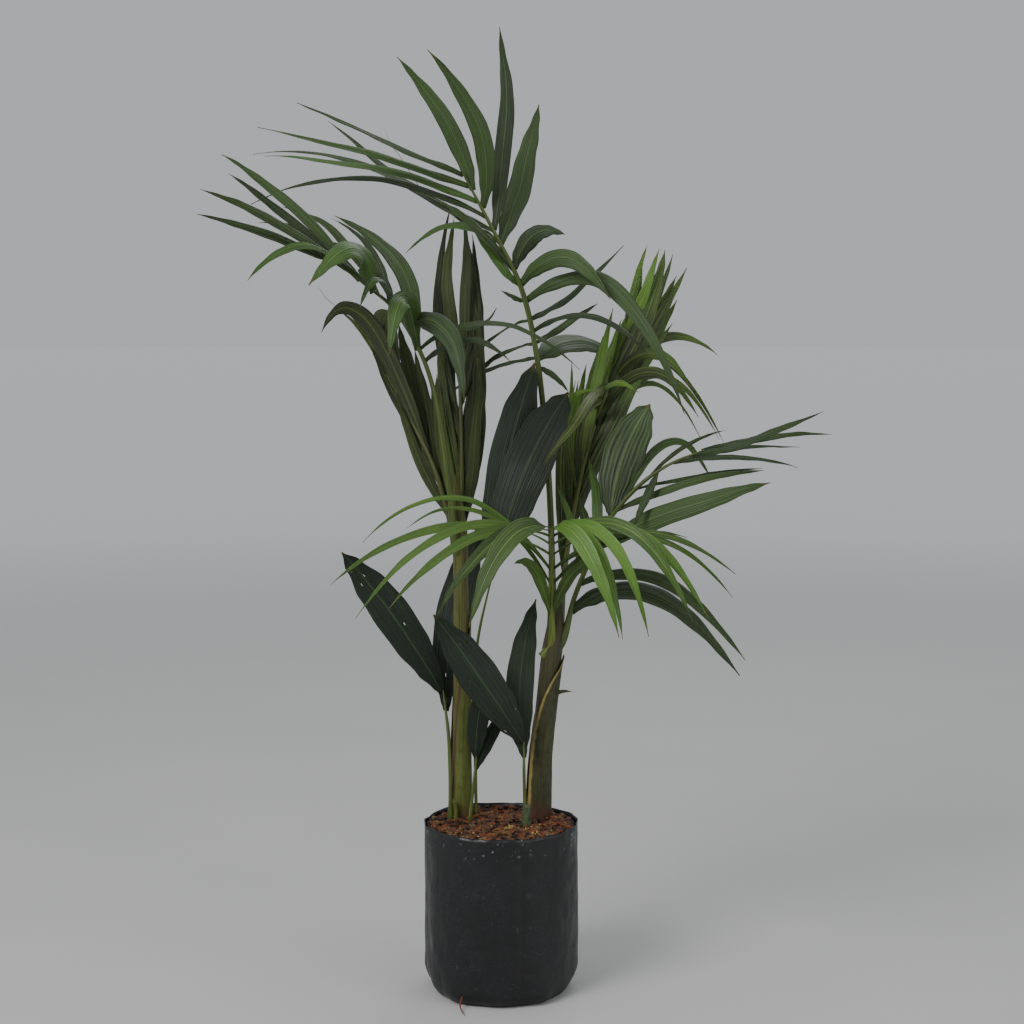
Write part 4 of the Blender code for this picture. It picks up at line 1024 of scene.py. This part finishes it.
FRONT_STALK = (
    (1.6, -0.6, 21.8),
    (1.5, -2, 27.6),
    (1.5, -5, 32.2),
    (1.4, -9, 35),
    (1.3, -13, 36.6),
    (1.2, -17, 37.3),
)

FRONT_LEAFLETS = (
    Leaflet("L", 13, (-3, -11, 32.5), (0.3, 0, 2.3), 14, 0),
    Leaflet("R", 13, (7.2, -9, 32.5), (-0.3, 0, 2), 14, 0),
    Leaflet("L", 30, (-15.5, -10, 36.5), (0.5, -2, 5.5), 7, 40),
    Leaflet("R", 30, (17, -11, 35.5), (0, -1, 3), 9, 45),
    Leaflet("L", 39, (-20.5, -11, 35), (0, -1, 7), 10, 45),
    Leaflet("R", 39, (22.5, -13, 31.5), (0, -1, 4.7), 10, 45),
    Leaflet("L", 50, (-24, -14.5, 30.5), (0, -1, 5), 12, 45),
    Leaflet("R", 50, (22, -14.5, 29), (0, -1, 5), 10, 45),
    Leaflet("L", 60, (-21, -17.5, 27), (0, -1, 6), 13, 40),
    Leaflet("R", 60, (19, -17.5, 27), (1, -1, 5.5), 15, 40),
    Leaflet("L", 70, (-17, -19.5, 28.5), (0, -1, 4), 14, 35),
    Leaflet("R", 70, (17, -19.5, 27), (1, -1, 5.5), 17, 35),
    Leaflet("L", 81, (-11.5, -21.5, 28), (-0.5, -1, 3.5), 16, 35),
    Leaflet("R", 81, (12, -21, 25.5), (1, -1, 5), 15, 30),
    Leaflet("R", 89, (9, -23, 25.5), (1, -1, 4), 14, 25),
    Leaflet("L", 95, (-8, -24, 27), (-0.5, -1, 4), 25, 25),
    Leaflet("R", 98, (8.5, -25, 26), (0, -1, 4), 20, 20),
)

SIDE_STALK = (
    (2.9, 0.1, 21.7),
    (4.3, -0.6, 27),
    (6.1, -1.8, 31.8),
    (7.5, -2.8, 35.5),
    (11.2, -3.8, 40.3),
    (15, -4.5, 43.3),
    (19.5, -5, 45.3),
)

SIDE_LEAFLETS = (
    Leaflet("R", 12, (23.2, -12, 19.5), (-0.5, 0, 6), 28, 40),
    Leaflet("R", 24, (23.5, -15, 21.8), (0, -0.5, 5), 18, 35),
    Leaflet("L", 28, (2, -2, 41), (0.5, 0, 0), 10, 10),
    Leaflet("L", 35, (5, 0.6, 39), (0.2, 0, 0), 15, 5),
    Leaflet("R", 40, (26.5, -12, 42), (0, -1, 1), 27, 30),
    Leaflet("L", 44, (6, 0, 44), (0.4, 0, 0), 13, 5),
    Leaflet("L", 55, (13.3, -1, 50.5), (-1, 0, 0), 50, 5),
    Leaflet("R", 58, (26.5, -6.5, 43), (0, 0, 1), 12, 45),
    Leaflet("L", 65, (21.2, 3, 41), (0, 1.5, 5.5), 11, 30),
    Leaflet("R", 69, (26.5, -4, 43), (0, 0.5, 0.5), 6, 45),
    Leaflet("L", 76, (22, -4, 47.5), (0, 1, 1), 6, 45),
    Leaflet("R", 80, (11, -8, 36.5), (0, 0, 0), 10, 20),
    Leaflet("R", 87, (30, -9, 43.5), (0, 0, 1), 9, 50),
    Leaflet("L", 90, (32, 4, 45), (0, 1, 0.5), 7, 50),
    Leaflet("R", 95, (33, -8.5, 50), (0, 0, -0.5), 13, 50),
    Leaflet("L", 99, (34.8, -3, 47), (0, 0.5, 0.5), 10, 50),
)

right_bundle = RIGHT_NEW_LEAFLETS + RIGHT_NEW_INNER
frond(
    "tall_frond", "mature_leaf", RIGHT_FOOT, TALL_STALK, TALL_LEAFLETS, mature,
    petiole=0.0078, flare=1.8
)
frond(
    "right_new_frond", "young_leaf", RIGHT_FOOT, RIGHT_NEW_STALK, right_bundle, opening,
    petiole=0.0065, flare=2
)
frond(
    "front_frond", "young_leaf", RIGHT_FOOT, FRONT_STALK, FRONT_LEAFLETS, young,
    petiole=0.006, flare=2
)
frond(
    "side_frond", "mature_leaf", RIGHT_FOOT, SIDE_STALK, SIDE_LEAFLETS, mature,
    petiole=0.0062, flare=2
)

# ---- The seedling leaves -----------------------------------------------------------------------------
# The palms' first leaves: two broad, strongly ribbed lobes on a thin petiole that comes straight out of
# the mix. Old, very dark green, two of them with small holes where insects have been.

DARK_BIFID_STALK = (
    (1.9, 0.1, 0),
    (1.8, 0.1, 14),
    (2.1, -1.3, 21.5),
    (3.4, -3.3, 28),
    (4.6, -4.5, 32.6),
)

DARK_BIFID_LOBES = (
    Leaflet("L", 91, (9, -1.5, 55.5), (-0.8, 0.5, 0), 46, 5),
    Leaflet("R", 98, (13, -2.3, 52), (-1, 0, 0.5), 58, 10),
)

LEFT_BIFID_STALK = (
    (-1.2, -1.1, 0),
    (-1.2, -1.2, 5),
    (-1.4, -1.1, 10),
    (-1.8, -0.7, 13.5),
    (-2.1, -0.2, 15.7),
)

LEFT_BIFID_LOBES = (
    Leaflet("R", 84, (3, 4.5, 36), (-1.4, 3.6, 0), 44, 5),
    Leaflet("L", 98, (-14, -4, 33), (0, 0, 1), 46, 10),
)

SMALL_BIFID_STALK = ((1.2, -2.6, 0), (1.4, -2.5, 2.5), (1.7, -2.5, 5), (2, -2.4, 8))
SMALL_BIFID_LOBES = (
    Leaflet("R", 78, (6, -0.5, 14), (0, 0.5, 0.5), 16, 10),
    Leaflet("L", 97, (3.2, -3.2, 17.5), (-0.3, 0, 0.3), 26, 5),
)

MIDDLE_BIFID_STALK = ((-1.7, -3.8, 0), (-1.7, -3.8, 3), (-1.8, -4.2, 6.5), (-1.8, -4.6, 10.2))
MIDDLE_BIFID_LOBES = (
    Leaflet("R", 80, (-0.3, 2, 26.5), (-1.2, -0.3, 0), 34, 5),
    Leaflet("L", 98, (-12.5, -7.5, 26), (0, -0.5, 0.5), 48, 10),
)


def seedling_leaf(node, foot, stalk, lobes, **form):
    """A two-lobed leaf with a petiole of its own, which starts a little way down in the mix."""
    frond(node, "seedling_leaf", foot, stalk, lobes, seedling, all_broad=True, pull=1, sink=0.012, **form)


seedling_leaf("dark_bifid_leaf", LEFT_FOOT, DARK_BIFID_STALK, DARK_BIFID_LOBES, petiole=0.004)
seedling_leaf(
    "left_bifid_leaf", LEFT_FOOT, LEFT_BIFID_STALK, LEFT_BIFID_LOBES,
    petiole=0.0052, profile=LOBE, flare=2, holes=0.001
)
seedling_leaf(
    "small_bifid_leaf", LEFT_FOOT, SMALL_BIFID_STALK, SMALL_BIFID_LOBES,
    petiole=0.0046, profile=LOBE, flare=1.4
)
seedling_leaf(
    "middle_bifid_leaf", RIGHT_FOOT, MIDDLE_BIFID_STALK, MIDDLE_BIFID_LOBES,
    petiole=0.0046, profile=LOBE, flare=1.6, holes=0.003
)

# ---- Camera, floor and light -------------------------------------------------------------------------
# A plain pale floor, a large soft key from the front left, a weaker fill, a soft light from behind and a
# broad pale sky. The camera stands 2.5 m away, above the plant's middle, and looks slightly down.

SKY = linear("e3e6ea")
SKY_STRENGTH = 0.62
FLOOR_GLOW = 0.945  # how bright the floor's far part is, as a share of the sky
FLOOR_RADIUS = 40
FLOOR_DROP = 0.0005  # keeps the floor just clear of the bag's underside
CAMERA_PLACE = (0.0137, -2.48, 0.82)
CAMERA_TILT = 5.62  # degrees below level
LENS = 73.9


def make_floor():
    """A round pale floor whose far part turns into the colour of the sky, so that no edge shows."""
    paint, shader = new_material("pale floor paint")
    place = add(paint, "TexCoord").node.outputs["Object"]
    cloud = add(paint, "TexNoise", {"Vector": place, "Scale": 3.0})
    colour = blend(paint, cloud, linear("b9b9b7"), linear("c1c1be"))
    away = add(paint, "VectorMath", {0: place}, operation="LENGTH").node.outputs["Value"]
    fade = spread(paint, away, 1.2, 6.0)
    colour = blend(paint, fade, colour, linear("000000"))
    finish(paint, shader, colour, spread(paint, cloud, 0.0, 1.0, 0.85, 0.95))
    shader.inputs["Emission Color"].default_value = SKY
    glow = math(paint, "MULTIPLY", fade, SKY_STRENGTH * FLOOR_GLOW)
    paint.node_tree.links.new(glow, shader.inputs["Emission Strength"])
    bm = bmesh.new()
    bmesh.ops.create_circle(bm, cap_ends=True, segments=96, radius=FLOOR_RADIUS)
    bmesh.ops.translate(bm, verts=bm.verts, vec=(0, 0, -FLOOR_DROP))
    return new_object("floor", bm, paint, smooth=False)


def add_light(name, place, aim, size, power):
    """A round area light that looks at a point, in metres and watts."""
    data = bpy.data.lights.new(name, "AREA")
    data.shape = "DISK"
    data.size = size
    data.energy = power
    light = bpy.data.objects.new(name, data)
    bpy.context.scene.collection.objects.link(light)
    light.location = place
    light.rotation_euler = (Vector(aim) - Vector(place)).to_track_quat("-Z", "Y").to_euler()


make_floor()
add_light("key", (-1.9, -2.2, 2.6), (0, 0, 0.6), 1.8, 84)
add_light("fill", (2.4, -1.6, 1.4), (0, 0, 0.6), 2.2, 22)
add_light("back", (0.8, 2.2, 2.4), (0, 0, 0.7), 1.6, 14)
world = bpy.data.worlds.new("studio sky")
world.use_nodes = True
world.node_tree.nodes["Background"].inputs["Color"].default_value = SKY
world.node_tree.nodes["Background"].inputs["Strength"].default_value = SKY_STRENGTH
bpy.context.scene.world = world

lens = bpy.data.cameras.new("camera")
lens.sensor_width = 36
lens.lens = LENS
camera = bpy.data.objects.new("camera", lens)
bpy.context.scene.collection.objects.link(camera)
camera.location = CAMERA_PLACE
camera.rotation_euler = (radians(90 - CAMERA_TILT), 0, 0)
bpy.context.scene.camera = camera
